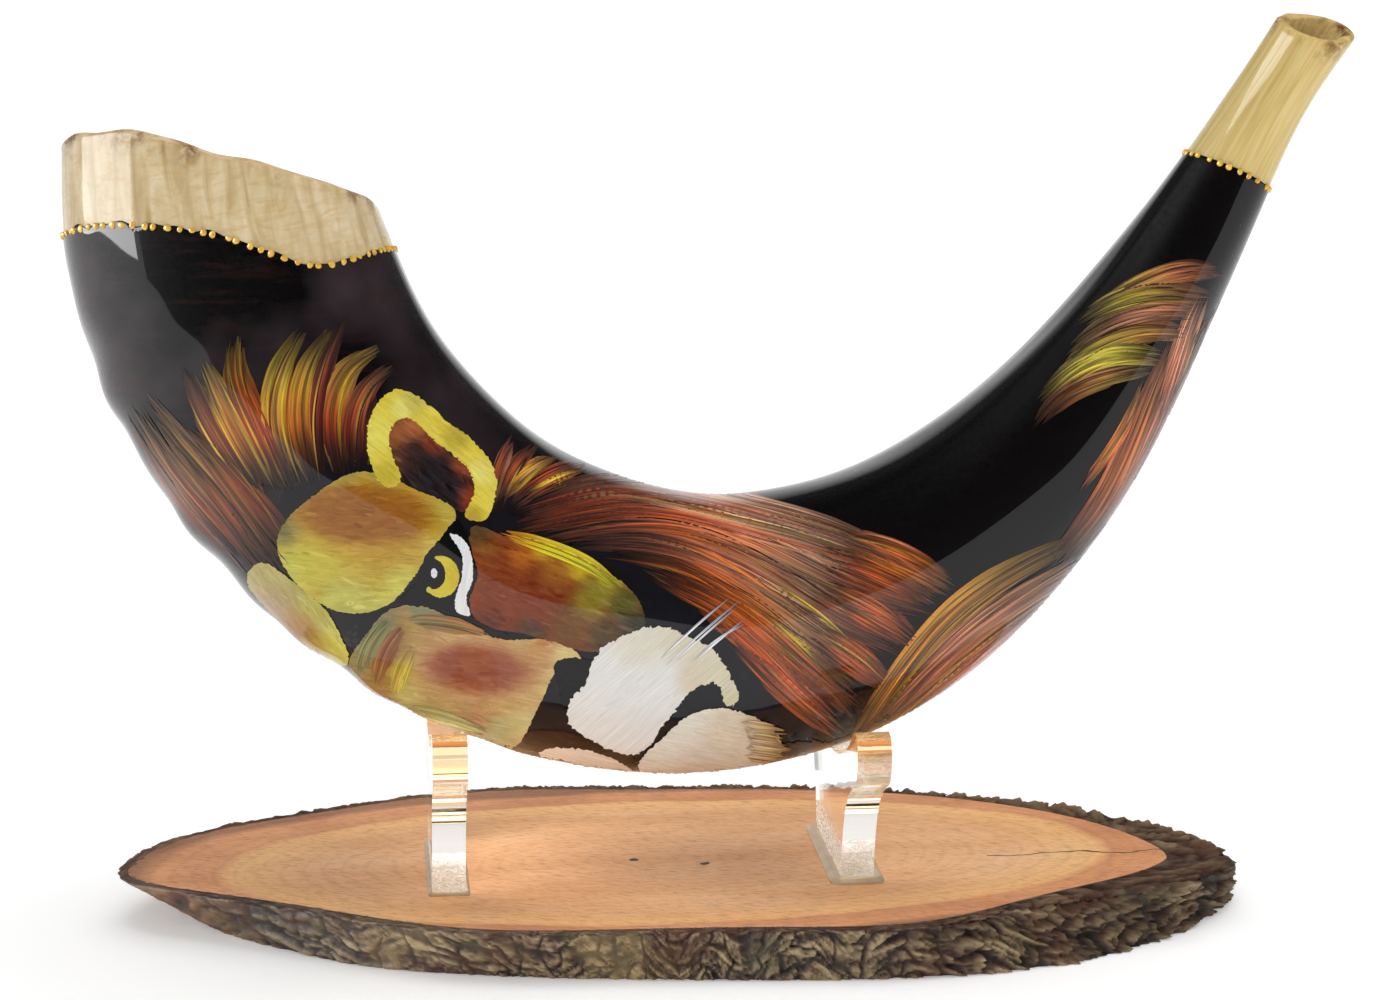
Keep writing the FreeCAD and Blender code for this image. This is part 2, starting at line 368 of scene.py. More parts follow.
def painted_material(name, darkest, middle, lightest):
    """Brushed acrylic paint whose colour comes with each stroke, under the lacquer."""
    n = Nodes(name)
    paint = n.attribute("paint")
    stroke = n.attribute("stroke", "Vector")
    hairs = n.noise(n.scaled(stroke, (0.07, 3.2, 1.0)), 1.0, 4, 0.65)
    shade = n.ramp(hairs, [(0.3, darkest), (0.5, middle), (0.7, lightest)])
    n.colour(n.mix(1.0, paint, shade, "MULTIPLY"))
    n.roughness(n.ramp(hairs, [(0.3, 0.5), (0.7, 0.34)]))
    lacquer(n)
    n.bump(hairs, 0.1, 0.0001)
    return n.material


def gold_material():
    """Gold-yellow bead paint, a little darker where it pools."""
    n = Nodes("gold_beads")
    place = n.place()
    n.colour(n.ramp(n.noise(place, 700, 3), [(0.3, rgb(206, 140, 28)), (0.5, rgb(238, 186, 58)),
                                             (0.75, rgb(250, 214, 104))]))
    n.roughness(n.ramp(n.noise(place, 1500, 2), [(0.3, 0.3), (0.7, 0.5)]))
    n.set(Metallic=0.1, Coat_Weight=0.6, Coat_Roughness=0.1)
    return n.material


def acrylic_material():
    """Clear cast acrylic, frosted where the glue has crazed its foot, with a faint beige tint and amber ears
    that are painted reflection of the wood.
    """
    n = Nodes("clear_acrylic")
    place = n.place()
    height = n.axes(place)
    low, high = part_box("left_cradle")
    ragged = n.plus(height["Z"], n.times(n.noise(place, 500, 3), 0.002))
    frosted = n.math("LESS_THAN", ragged, low.z + FROSTED_FOOT)
    grain = n.noise(n.scaled(place, (1.0, 1.0, 2.4)), 620, 3, 0.6, 0.5)
    crazed = n.ramp(grain, [(0.46, 0.03), (0.54, 0.5)])
    n.roughness(n.mix(frosted, 0.0, crazed))
    # Faint beige over the whole plate: painted colour of the wood seen through it.
    clear = n.mix(n.fade(n.noise(place, 90, 2), 0.3, 0.7, 0.2),
                  (0.975, 0.95, 0.915), (0.96, 0.93, 0.885))
    # Amber over the top of each cradle: painted reflection of the wood below.
    reflection_rise = n.times(n.math("SUBTRACT", height["Z"], high.z - WOOD_REFLECTION_EAR), 250.0)
    n.colour(n.mix(n.fade(reflection_rise, 0.0, 1.0, 0.95), clear, (0.90, 0.48, 0.16)))
    n.link(n.mix(frosted, 1.0, n.ramp(grain, [(0.46, 0.75), (0.56, 0.3)])),
           n.shader.inputs["Transmission Weight"])
    n.set(IOR=1.49)
    n.bump(n.times(frosted, grain), 0.5, 0.0006)
    return n.material


def glue_material():
    """Clear amber glue."""
    n = Nodes("amber_glue")
    place = n.place()
    n.colour(n.ramp(n.noise(place, 260, 3), [(0.3, rgb(244, 214, 168)), (0.7, rgb(252, 240, 214))]))
    n.roughness(n.ramp(n.noise(place, 500, 2), [(0.3, 0.05), (0.7, 0.18)]))
    n.set(Transmission_Weight=0.55, IOR=1.4)
    return n.material


def wood_material():
    """Obliquely cut slice: fine short pores, faint rings, redder sapwood by the bark."""
    n = Nodes("slice_of_wood")
    place = n.place()
    low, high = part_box("slab_wood")
    middle = (low + high) / 2
    half = (high - low) / 2
    centred = n.vector("SUBTRACT", place, (middle.x, middle.y - 0.004, 0))[0]
    round_place = n.scaled(centred, (1 / half.x, 1 / half.y, 0.0))
    radius = n.vector("LENGTH", round_place)["Value"]
    wander = n.times(n.noise(place, 22, 3), 0.11)
    ring = n.plus(radius, n.math("SUBTRACT", wander, 0.055))
    rings = n.math("SINE", n.times(ring, 150.0))
    heart = n.ramp(n.noise(n.scaled(place, (14, 60, 14)), 1.0, 5, 0.6),
                   [(0.3, rgb(220, 156, 100)), (0.5, rgb(236, 178, 124)), (0.72, rgb(246, 196, 146))])
    heart = n.mix(n.ramp(ring, [(0.0, 0.4), (0.5, 0.0)]), heart, rgb(200, 142, 100))
    heart = n.mix(n.fade(ring, 0.66, 0.80, 0.7), heart, rgb(248, 192, 120))
    sap = n.ramp(n.noise(n.scaled(place, (20, 45, 20)), 1.0, 4),
                 [(0.3, rgb(200, 128, 80)), (0.7, rgb(238, 168, 112))])
    wood = n.mix(n.fade(ring, 0.815, 0.845), heart, sap)
    wood = n.mix(n.times(n.fade(rings, 0.55, 1.0), 0.10),
                 wood, rgb(130, 74, 42))
    slanted = n.add("VectorRotate", rotation_type="Z_AXIS")
    slanted.inputs["Angle"].default_value = math.radians(22)
    n.link(place, slanted.inputs["Vector"])
    pores = n.noise(n.scaled(slanted.outputs[0], (260, 1700, 260)), 1.0, 4, 0.75)
    wood = n.mix(n.fade(pores, 0.5, 0.64, 0.45), wood, rgb(136, 80, 46))
    wood = n.mix(n.fade(ring, 0.96, 1.0, 0.6), wood, rgb(96, 56, 34))
    wavy = n.times(n.noise(place, 70, 3), 0.008)
    sides = n.axes(place)
    beside = n.math("ABSOLUTE", n.plus(sides["Y"], n.math("SUBTRACT", wavy, 0.0005)))
    crack = n.times(n.math("LESS_THAN", beside, CRACK_HALF_WIDTH),
                    n.math("GREATER_THAN", sides["X"], CRACK_START))
    for x, y in KNOTS:
        apart = n.vector("DISTANCE", place, (x, y, high.z))["Value"]
        ragged = n.plus(apart, n.times(n.noise(place, 800, 2), 0.002))
        crack = n.math("MAXIMUM", crack, n.math("LESS_THAN", ragged, KNOT_RADIUS))
    n.colour(n.mix(crack, wood, rgb(48, 34, 30)))
    n.roughness(n.ramp(pores, [(0.4, 0.3), (0.7, 0.5)]))
    n.set(Specular_IOR_Level=0.12, Coat_Weight=0.05, Coat_Roughness=0.3)
    n.bump(n.mix(0.5, pores, n.noise(place, 80, 3)), 0.18, 0.0005)
    return n.material


def bark_material():
    """Weathered bark: grey-brown plates with lighter crests, and dark fissures that are partly the bark's own
    colour and partly painted shade.
    """
    n = Nodes("rough_bark")
    place = n.place()
    crest = n.attribute("crest", "Fac")
    mottle = n.noise(place, 210, 6, 0.7)
    # Near-black where the bark sinks into a fissure: partly its own colour, partly painted shade.
    tone = n.plus(n.times(crest, 0.62), n.times(mottle, 0.5))
    bark = n.ramp(tone, [(0.32, rgb(14, 9, 8)), (0.46, rgb(44, 30, 23)), (0.58, rgb(88, 66, 46)),
                         (0.74, rgb(148, 126, 92)), (0.93, rgb(198, 178, 136))])
    sides = n.axes(place)
    worn = n.fade(n.times(sides["X"], -10.0), 0.92, 1.0, 0.75)
    bark = n.mix(worn, bark, n.ramp(tone, [(0.36, rgb(66, 38, 26)), (0.6, rgb(150, 104, 68)),
                                           (0.85, rgb(196, 152, 106))]))
    patches = n.noise(n.scaled(place, (1, 1, 0.5)), 24, 4, 0.6)
    bark = n.mix(n.fade(patches, 0.50, 0.60, 0.8), bark, n.mix(0.7, bark, rgb(30, 18, 13)))
    bark = n.mix(n.ramp(patches, [(0.36, 0.55), (0.46, 0.0)]), bark, n.mix(0.6, bark, rgb(178, 152, 98)))
    # Faces turned upwards take darker browns; in their fissures the darkness is partly painted shade.
    facing = n.axes(n.add("NewGeometry").outputs["Normal"])
    bark = n.mix(n.fade(facing["Z"], 0.35, 0.8, 0.65), bark,
                 n.mix(crest, rgb(34, 20, 14), rgb(104, 68, 46)))
    rust = n.fade(n.noise(place, 60, 4), 0.5, 0.66, 0.55)
    moss = n.fade(n.noise(place, 95, 3), 0.52, 0.68, 0.28)
    n.colour(n.mix(moss, n.mix(rust, bark, rgb(96, 56, 34)), rgb(120, 112, 78)))
    n.roughness(n.ramp(mottle, [(0.3, 0.42), (0.7, 0.75)]))
    n.bump(n.noise(place, 900, 5, 0.7), 0.6, 0.0006)
    return n.material


# ---------------------------------------------------------------- the horn's surface

class HornSurface:
    """Smooth outer and inner surface read from the CAD horn: place along 0..1, angle round.

    Angle 0 is on the inside of the bend, and a quarter turn is at the back.
    """
    ROWS = 110
    COLUMNS = 48

    def __init__(self):
        self.tree = ray_tree(nodes["horn"])
        self.coat_tree = ray_tree(nodes["ground_coat"])
        self.line = cubic(np.array(CENTRE_LINE) * MM, 1200)
        self.tangent = unit(np.gradient(self.line, axis=0))
        self.across = unit(np.array([0, 1.0, 0]) - self.tangent * self.tangent[:, 1:2])
        self.inward = np.cross(self.tangent, self.across)
        self.length = np.linalg.norm(np.diff(self.line, axis=0), axis=1).sum()
        self.angles = np.linspace(0, 2 * np.pi, self.COLUMNS, endpoint=False)
        self.places = np.linspace(0, 1, self.ROWS)
        self.outer = self.table(self.outer_radius)
        self.inner = self.table(self.inner_radius)

    def frame_at(self, place):
        i = np.clip(place, 0, 1) * (len(self.line) - 1)
        steps = np.arange(len(self.line))
        pick = lambda values: np.stack([np.interp(i, steps, values[:, k]) for k in range(3)], -1)
        return pick(self.line), unit(pick(self.inward)), unit(pick(self.across)), pick(self.tangent)

    def ray(self, place, angle):
        centre, inward, across, _ = self.frame_at(np.float64(place))
        return centre, inward * math.cos(angle) + across * math.sin(angle)

    def outer_radius(self, place, angle, tree=None):
        """Distance from the centre line to the outer face, or nan where it is cut away."""
        centre, out = self.ray(place, angle)
        hit = (tree or self.tree).ray_cast(Vector(centre + out * REACH), Vector(-out), REACH)
        return REACH - hit[3] if hit[0] is not None else math.nan

    def inner_radius(self, place, angle):
        centre, out = self.ray(place, angle)
        hit = self.tree.ray_cast(Vector(centre), Vector(out), REACH)
        return hit[3] if hit[0] is not None else math.nan

    def table(self, measure):
        """Radii on the coarse grid, carried on past the cut ends and lightly smoothed."""
        radii = np.array([[measure(p, a) for a in self.angles] for p in self.places])
        for column in radii.T:
            known = np.where(~np.isnan(column))[0]
            column[:known[0]] = column[known[0]]
            column[known[-1] + 1:] = column[known[-1]]
        for _ in range(2):
            radii = (np.roll(radii, 1, 1) + 2 * radii + np.roll(radii, -1, 1)) / 4
            radii[1:-1] = (radii[:-2] + 2 * radii[1:-1] + radii[2:]) / 4
        return radii

    def look_up(self, table, place, angle):
        """Cubic interpolation of a table."""
        def weights(t):
            return (((-t + 2) * t - 1) * t / 2, ((3 * t - 5) * t * t + 2) / 2,
                    ((-3 * t + 4) * t + 1) * t / 2, (t - 1) * t * t / 2)
        row = np.clip(place, 0, 1) * (self.ROWS - 1)
        column = (angle % (2 * np.pi)) / (2 * np.pi) * self.COLUMNS
        i = np.floor(row).astype(int)
        j = np.floor(column).astype(int)
        total = 0
        for a, wa in enumerate(weights(row - i)):
            for b, wb in enumerate(weights(column - j)):
                rows = np.clip(i + a - 1, 0, self.ROWS - 1)
                total = total + wa * wb * table[rows, (j + b - 1) % self.COLUMNS]
        return total

    def relief(self, place, angle):
        """Unevenness of the natural horn: a grooved inner side and lumps near the bell.

        The heights are millimetres until the last line.
        """
        turn = np.degrees((angle + np.pi) % (2 * np.pi) - np.pi)
        ridge = 0.5 * np.exp(-((np.abs(turn) - 30) / 8) ** 2) - 0.5 * np.exp(-(turn / 17) ** 2)
        relief = ridge * smoothstep(0.2, 0.4, place) * (1 - smoothstep(0.8, 0.92, place))
        outside = np.exp(-((np.abs(turn) - 180) / 42) ** 2)
        near_bell = smoothstep(0.1, 0.2, place) * (1 - smoothstep(0.32, 0.46, place))
        lumps = np.sin(place * 150 + 2.2 * np.sin(angle * 2 + 1)) * np.sin(angle * 5 + place * 40)
        relief = relief + 0.75 * outside * near_bell * lumps
        relief = relief + 0.10 * np.sin(place * 47 + np.sin(angle * 3) * 1.7)
        return relief * MM

    def point(self, place, angle, lift=0.0, table=None):
        centre, inward, across, _ = self.frame_at(place)
        out = inward * np.cos(angle)[..., None] + across * np.sin(angle)[..., None]
        if table is None:
            radius = self.look_up(self.outer, place, angle) + self.relief(place, angle)
        else:
            radius = self.look_up(table, place, angle)
        return centre + out * (radius + lift)[..., None]

    def edge(self, inside, outside, angles, there):
        """Place along the horn, for each angle, where there(place, angle) stops being true."""
        ends = []
        for angle in angles:
            low, high = inside, outside
            for _ in range(14):
                middle = (low + high) / 2
                low, high = (middle, high) if there(middle, angle) else (low, middle)
            ends.append((low + high) / 2)
        return np.array(ends)

    def bare_there(self, place, angle):
        radius = self.outer_radius(place, angle)
        return not math.isnan(radius) and radius > 0

    def bore_there(self, place, angle):
        return not math.isnan(self.inner_radius(place, angle))

    def coat_there(self, place, angle):
        radius = self.outer_radius(place, angle, self.coat_tree)
        bare = self.look_up(self.outer, np.float64(place), np.float64(angle))
        return not math.isnan(radius) and radius > bare - 0.5 * MM


def build_horn(surface):
    """The whole hollow horn as one closed skin with rounded, slightly uneven lips."""
    angles = np.linspace(0, 2 * np.pi, HORN_COLUMNS, endpoint=False)
    bell = surface.edge(0.4, 0.0, angles, surface.bare_there)
    mouth = surface.edge(0.8, 1.0, angles, surface.bare_there)
    bell_in = surface.edge(0.3, 0.0, angles, surface.bore_there)
    mouth_in = surface.edge(0.9, 1.0, angles, surface.bore_there)
    lip = LIP / surface.length
    wobble = 0.35 * MM / surface.length * (np.sin(angles * 7) + np.sin(angles * 13 + 2) * 0.6)
    bell = bell + lip + wobble
    bell_in = bell_in + lip + wobble
    mouth = mouth - lip * 0.7
    mouth_in = mouth_in - lip * 0.7
    rows = []
    places = []
    kinds = []

    def run(first, last, count, table):
        for t in np.linspace(0, 1, count):
            place = first + (last - first) * t
            rows.append(surface.point(place, angles, 0.0, table))
            places.append(place)
            kinds.append(0.0 if table is None else 1.0)

    def cap(first_row, last_row, before, crown, place, count=6):
        push = unit(before) * crown
        for t in np.linspace(0, 1, count + 2)[1:-1]:
            rise = (1 - abs(2 * t - 1) ** 3)
            rows.append(first_row * (1 - t) + last_row * t + push * rise)
            places.append(place)
            kinds.append(0.5)

    run(mouth, bell, OUTER_ROWS, None)
    outward = rows[-1] - rows[-3]
    inner_start = surface.point(bell_in, angles, 0.0, surface.inner)
    cap(rows[-1], inner_start, outward, LIP, bell)
    run(bell_in, mouth_in, INNER_ROWS, surface.inner)
    outward = rows[-1] - rows[-3]
    cap(rows[-1], rows[0], outward, 0.65 * MM, mouth)
    vertices = np.concatenate(rows)
    place = np.concatenate(places)
    kind = np.repeat(kinds, HORN_COLUMNS)
    around = np.tile(angles, len(rows))
    ends = np.minimum(place - np.tile(bell, len(rows)), np.tile(mouth, len(rows)) - place)
    stain = np.clip(1 - ends * surface.length / (6 * MM), 0, 1) * 0.8
    patchy = noise_at(vertices, 9 * MM, 3, 4.0)
    # Besides the browned edges, the whole inner surface is made patchily browner.
    stain = np.clip(stain * smoothstep(-0.1, 0.5, patchy) + (kind > 0.7) * 0.25, 0, 1)
    horn_place = np.stack([place * 9, around * 2, kind], 1)
    mouth_end = smoothstep(0.75, 0.85, place)
    return make_piece("shofar_horn", vertices, grid_faces(len(rows), HORN_COLUMNS, True),
                      horn_material(), "shofar", {
                          "horn_place": ("FLOAT_VECTOR", horn_place),
                          "stain": ("FLOAT", stain), "mouth_end": ("FLOAT", mouth_end)})


def build_coat(surface):
    """Paint skin between the two borders, tucked under at its edges."""
    angles = np.linspace(0, 2 * np.pi, COAT_COLUMNS, endpoint=False)
    bell = surface.edge(0.4, 0.02, angles, surface.coat_there)
    mouth = surface.edge(0.75, 0.97, angles, surface.coat_there)
    wobble = 0.3 * MM / surface.length * (np.sin(angles * 17) + np.sin(angles * 29 + 1))
    bell = bell + wobble
    step = 0.35 * MM / surface.length
    rows = [(bell - step, -COAT), (bell - step, COAT * 0.5)]
    rows += [(bell + (mouth - bell) * t, COAT) for t in np.linspace(0, 1, COAT_ROWS)]
    rows += [(mouth + step, COAT * 0.5), (mouth + step, -COAT)]
    vertices = np.concatenate([surface.point(place, angles, lift) for place, lift in rows])
    return make_piece("ground_coat_skin", vertices, grid_faces(len(rows), COAT_COLUMNS, flip=True),
                      coat_material(), "shofar")


def islands(node):
    """Vertex groups of a CAD node's separate solids."""
    mesh = nodes[node].data
    parent = list(range(len(mesh.vertices)))

    def root(i):
        while parent[i] != i:
            parent[i] = parent[parent[i]]
            i = parent[i]
        return i

    keys = {}
    for i, vertex in enumerate(mesh.vertices):
        key = tuple(round(c, 6) for c in vertex.co)
        parent[root(i)] = root(keys.setdefault(key, i))
    for polygon in mesh.polygons:
        first = root(polygon.vertices[0])
        for other in polygon.vertices[1:]:
            parent[root(other)] = first
    groups = {}
    for i, vertex in enumerate(mesh.vertices):
        groups.setdefault(root(i), []).append(vertex.co)
    return [np.array(group) for group in groups.values()]


def build_beads(node, name, skins, material):
    """Hand-set beads of thick paint, each a little lopsided, one for each CAD bead."""
    around = BEAD_COLUMNS
    horn_tree = ray_tree(nodes["horn"])
    vertices = []
    faces = []
    for group in islands(node):
        middle = group.mean(0)
        size = np.ptp(group, axis=0).max() / 2
        normal = np.linalg.svd(group - middle)[2][2]
        if horn_tree.ray_cast(Vector(middle), Vector(normal), 2 * MM)[0] is not None:
            normal = -normal
        above = Vector(middle + normal * BEAD_DROP)
        hits = [skin.ray_cast(above, Vector(-normal), 2 * BEAD_DROP) for skin in skins]
        drops = [hit[3] for hit in hits if hit[0] is not None]
        place = middle + normal * (BEAD_DROP - min(drops)) if drops else middle
        side = unit(np.cross(normal, [0.3, 0.2, 0.9]))
        other = np.cross(normal, side)
        stretch = random.uniform(0.88, 1.14)
        lean = random.uniform(-0.15, 0.15, 2)
        height = size * random.uniform(0.62, 0.85)
        start = len(vertices)
        for level in BEAD_LEVELS:
            radius = size * math.sqrt(max(1 - max(level, 0) ** 2, 0)) * 1.02
            for k in range(around):
                angle = 2 * math.pi * k / around
                ripple = 1 + 0.05 * math.sin(3 * angle + start)
                out = radius * ripple * math.cos(angle) * stretch + lean[0] * size * level
                up = radius * ripple * math.sin(angle) / stretch + lean[1] * size * level
                vertices.append(place + normal * height * level + side * out + other * up)
        vertices.append(place + normal * height * 1.02 + (side * lean[0] + other * lean[1]) * size)
        top = len(vertices) - 1
        vertices.append(place - normal * height * 0.25)
        for level in range(len(BEAD_LEVELS) - 1):
            for k in range(around):
                a = start + level * around
                b = (k + 1) % around
                faces.append((a + k, a + b, a + around + b, a + around + k))
        last = start + (len(BEAD_LEVELS) - 1) * around
        faces += [(last + k, last + (k + 1) % around, top) for k in range(around)]
        faces += [(start + (k + 1) % around, start + k, top + 1) for k in range(around)]
    return make_piece(name, vertices, faces, material, "shofar")


# ---------------------------------------------------------------- painting

class Canvas:
    """Throws flat (x, z) millimetres from the painter's eye onto the coat."""

    def __init__(self, piece):
        mesh = piece.data
        mesh.calc_loop_triangles()
        self.corners = np.array([t.vertices for t in mesh.loop_triangles])
        self.points = np.array([v.co for v in mesh.vertices])
        self.normals = np.array([v.normal for v in mesh.vertices])
        self.tree = BVHTree.FromPolygons(self.points.tolist(), self.corners.tolist())

    def throw(self, flat, lift):
        """Positions on the coat, its smooth normals there, and which points landed on it."""
        target = np.stack([flat[:, 0], np.zeros(len(flat)), flat[:, 1]], 1) * MM
        places = np.empty((len(flat), 3))
        faces = np.empty(len(flat), int)
        landed = np.ones(len(flat), bool)
        for k, aim in enumerate(target):
            hit = self.tree.ray_cast(Vector(EYE), Vector(aim - EYE))
            if hit[0] is None:
                landed[k] = False
                hit = self.tree.find_nearest(Vector(aim))
            places[k] = hit[0]
            faces[k] = hit[2]
        a, b, c = (self.points[self.corners[faces, k]] for k in range(3))
        whole = np.linalg.norm(np.cross(b - a, c - a), axis=1)
        wa = np.linalg.norm(np.cross(b - places, c - places), axis=1) / whole
        wb = np.linalg.norm(np.cross(a - places, c - places), axis=1) / whole
        weights = np.stack([wa, wb, np.clip(1 - wa - wb, 0, 1)], 1)
        normals = unit((self.normals[self.corners[faces]] * weights[:, :, None]).sum(1))
        return places + normals * (np.asarray(lift) * MM)[..., None], normals, landed


class Layer:
    """Paint gathered flat, then thrown onto the canvas as one piece."""

    def __init__(self):
        self.flat = []
        self.lift = []
        self.paint = []
        self.stroke = []
        self.faces = []
        self.count = 0

    def add(self, flat, faces, lift, paint, stroke):
        self.flat.append(flat)
        self.lift.append(np.full(len(flat), lift))
        self.paint.append(paint)
        self.stroke.append(stroke)
        self.faces += [tuple(int(i) + self.count for i in face) for face in faces]
        self.count += len(flat)

    def finish(self, name, canvas, material):
        flat = np.concatenate(self.flat)
        places, normals, landed = canvas.throw(flat, np.concatenate(self.lift))
        kept = [face for face in self.faces if all(landed[i] for i in face)]
        used = np.unique([i for face in kept for i in face])
        number = np.zeros(len(flat), int)
        number[used] = np.arange(len(used))
        kept = [tuple(int(number[i]) for i in face) for face in kept]
        paint = linear(np.concatenate(self.paint))
        paint = np.concatenate([paint, np.ones((len(paint), 1))], 1)
        return make_piece(name, places[used], kept, material, "shofar", {
            "paint": ("FLOAT_COLOR", paint[used]),
            "stroke": ("FLOAT_VECTOR", np.concatenate(self.stroke)[used])}, normals[used])


def inside(points, outline):
    """Which points lie inside the closed outline."""
    x, z = points[:, 0][:, None], points[:, 1][:, None]
    x0, z0 = outline.T
    x1, z1 = np.roll(outline, -1, 0).T
    crosses = ((z0 > z) != (z1 > z)) & (x < (x1 - x0) * (z - z0) / (z1 - z0 + 1e-12) + x0)
    return crosses.sum(1) % 2 == 1


def blended(points, base, tones):
    """Colours blended between tones (x, z, reach, colour) around a base colour.

    A reach of (half width, half height, tilt, strength) makes an oval with a soft edge.
    """
    total = np.tile(np.array(base, float) * BASE_WEIGHT, (len(points), 1))
    weight = np.full((len(points), 1), BASE_WEIGHT)
    for x, z, reach, colour in tones:
        dx, dz = points[:, 0] - x, points[:, 1] - z
        if isinstance(reach, tuple):
            half_width, half_height, tilt, strength = reach
            c, s = math.cos(math.radians(tilt)), math.sin(math.radians(tilt))
            distance = np.hypot((dx * c + dz * s) / half_width, (dz * c - dx * s) / half_height)
            w = strength * np.exp(-distance ** 5)[:, None]
        else:
            w = np.exp(-np.hypot(dx, dz) ** 2 / reach ** 2 * 1.15)[:, None]
        total += w * np.array(colour)
        weight += w
    return total / weight


def brush_noise(points, seed):
    """Broken streaks of lighter and darker paint at stroke coordinates, about -1..1."""
    return noise_at(np.stack([points[:, 0] * 0.16, points[:, 1] * 1.1, points[:, 2]], 1), 1.0, 3, seed)


def patch(layer, outline, base, tones, lift, grain, rough=0.0, step=0.6, contrast=20, dabs=0):
    """A painted area. grain is ("line", degrees) or ("round", x, z), the way the brush ran."""
    length = np.linalg.norm(np.diff(np.array(outline + outline[:1], float), axis=0), axis=1).sum()
    edge = cubic(outline, int(length / (step * 0.8)), closed=True)
    edge = edge + random.normal(0, rough, edge.shape)
    low, high = edge.min(0), edge.max(0)
    xs, zs = np.meshgrid(np.arange(low[0], high[0], step), np.arange(low[1], high[1], step))
    filling = np.stack([xs.ravel(), zs.ravel()], 1)
    filling += random.uniform(-0.3, 0.3, filling.shape) * step
    filling = filling[inside(filling, edge)]
    gap = np.min(np.linalg.norm(filling[:, None] - edge[None], axis=2), axis=1)
    filling = filling[gap > step * 0.45]
    points = np.concatenate([edge, filling])
    ring = [(i, (i + 1) % len(edge)) for i in range(len(edge))]
    result = delaunay_2d_cdt([Vector(p) for p in points], ring, [], 1, 1e-4)
    points = np.array([tuple(v) for v in result[0]])
    if grain[0] == "line":
        turn = math.radians(grain[1])
        along = points[:, 0] * math.cos(turn) + points[:, 1] * math.sin(turn)
        across = points[:, 1] * math.cos(turn) - points[:, 0] * math.sin(turn)
    else:
        dx, dz = points[:, 0] - grain[1], (points[:, 1] - grain[2]) * 1.5
        across = np.hypot(dx, dz)
        along = np.arctan2(dz, dx) * 12
    stroke = np.stack([along, across, np.full(len(points), lift * 100)], 1)
    paint = blended(points, base, tones) + contrast * brush_noise(stroke, lift * 37)[:, None]
    layer.add(points, result[2], lift, np.clip(paint, *PAINT_RANGE), stroke)
    for k in range(dabs):
        spot = random.uniform(low, high)
        if grain[0] == "line":
            heading = math.radians(grain[1]) + random.normal(0, 0.2)
        else:
            heading = math.atan2(spot[1] - grain[2], spot[0] - grain[1]) + math.pi / 2
        run = np.linspace(-0.5, 0.5, 7)
        reach = random.uniform(2.5, 7)
        way = np.array([math.cos(heading), math.sin(heading)])
        bow = random.normal(0, 0.08) * reach
        side = np.array([-way[1], way[0]])
        axis = spot + np.outer(run * reach, way) + np.outer((0.25 - run ** 2) * bow, side)
        if not inside(axis[[0, 3, 6]], edge).all():
            continue
        half = random.uniform(0.15, 0.5) * np.clip((0.5 - np.abs(run)) * 5, 0.05, 1)
        points = np.concatenate([axis - half[:, None] * side, axis + half[:, None] * side])
        source = spot + random.normal(0, 1.6, 2)
        here = blended(axis, base, tones)
        there = blended(source[None], base, tones)
        mixed = here * 0.72 + there * 0.28 + random.normal(0, contrast * 0.45)
        softness = np.clip((0.5 - np.abs(run)) * 3.5, 0, 1)[:, None]
        mixed = here * (1 - softness) + mixed * softness
        marks = np.stack([np.tile(run * reach, 2), np.concatenate([-half, half]), np.full(14, k)], 1)
        faces = [(i, i + 1, i + 8, i + 7) for i in range(6)]
        layer.add(points, faces, lift + 0.004 + 0.012 * random.uniform(),
                  np.clip(np.tile(mixed, (2, 1)), *PAINT_RANGE), marks)


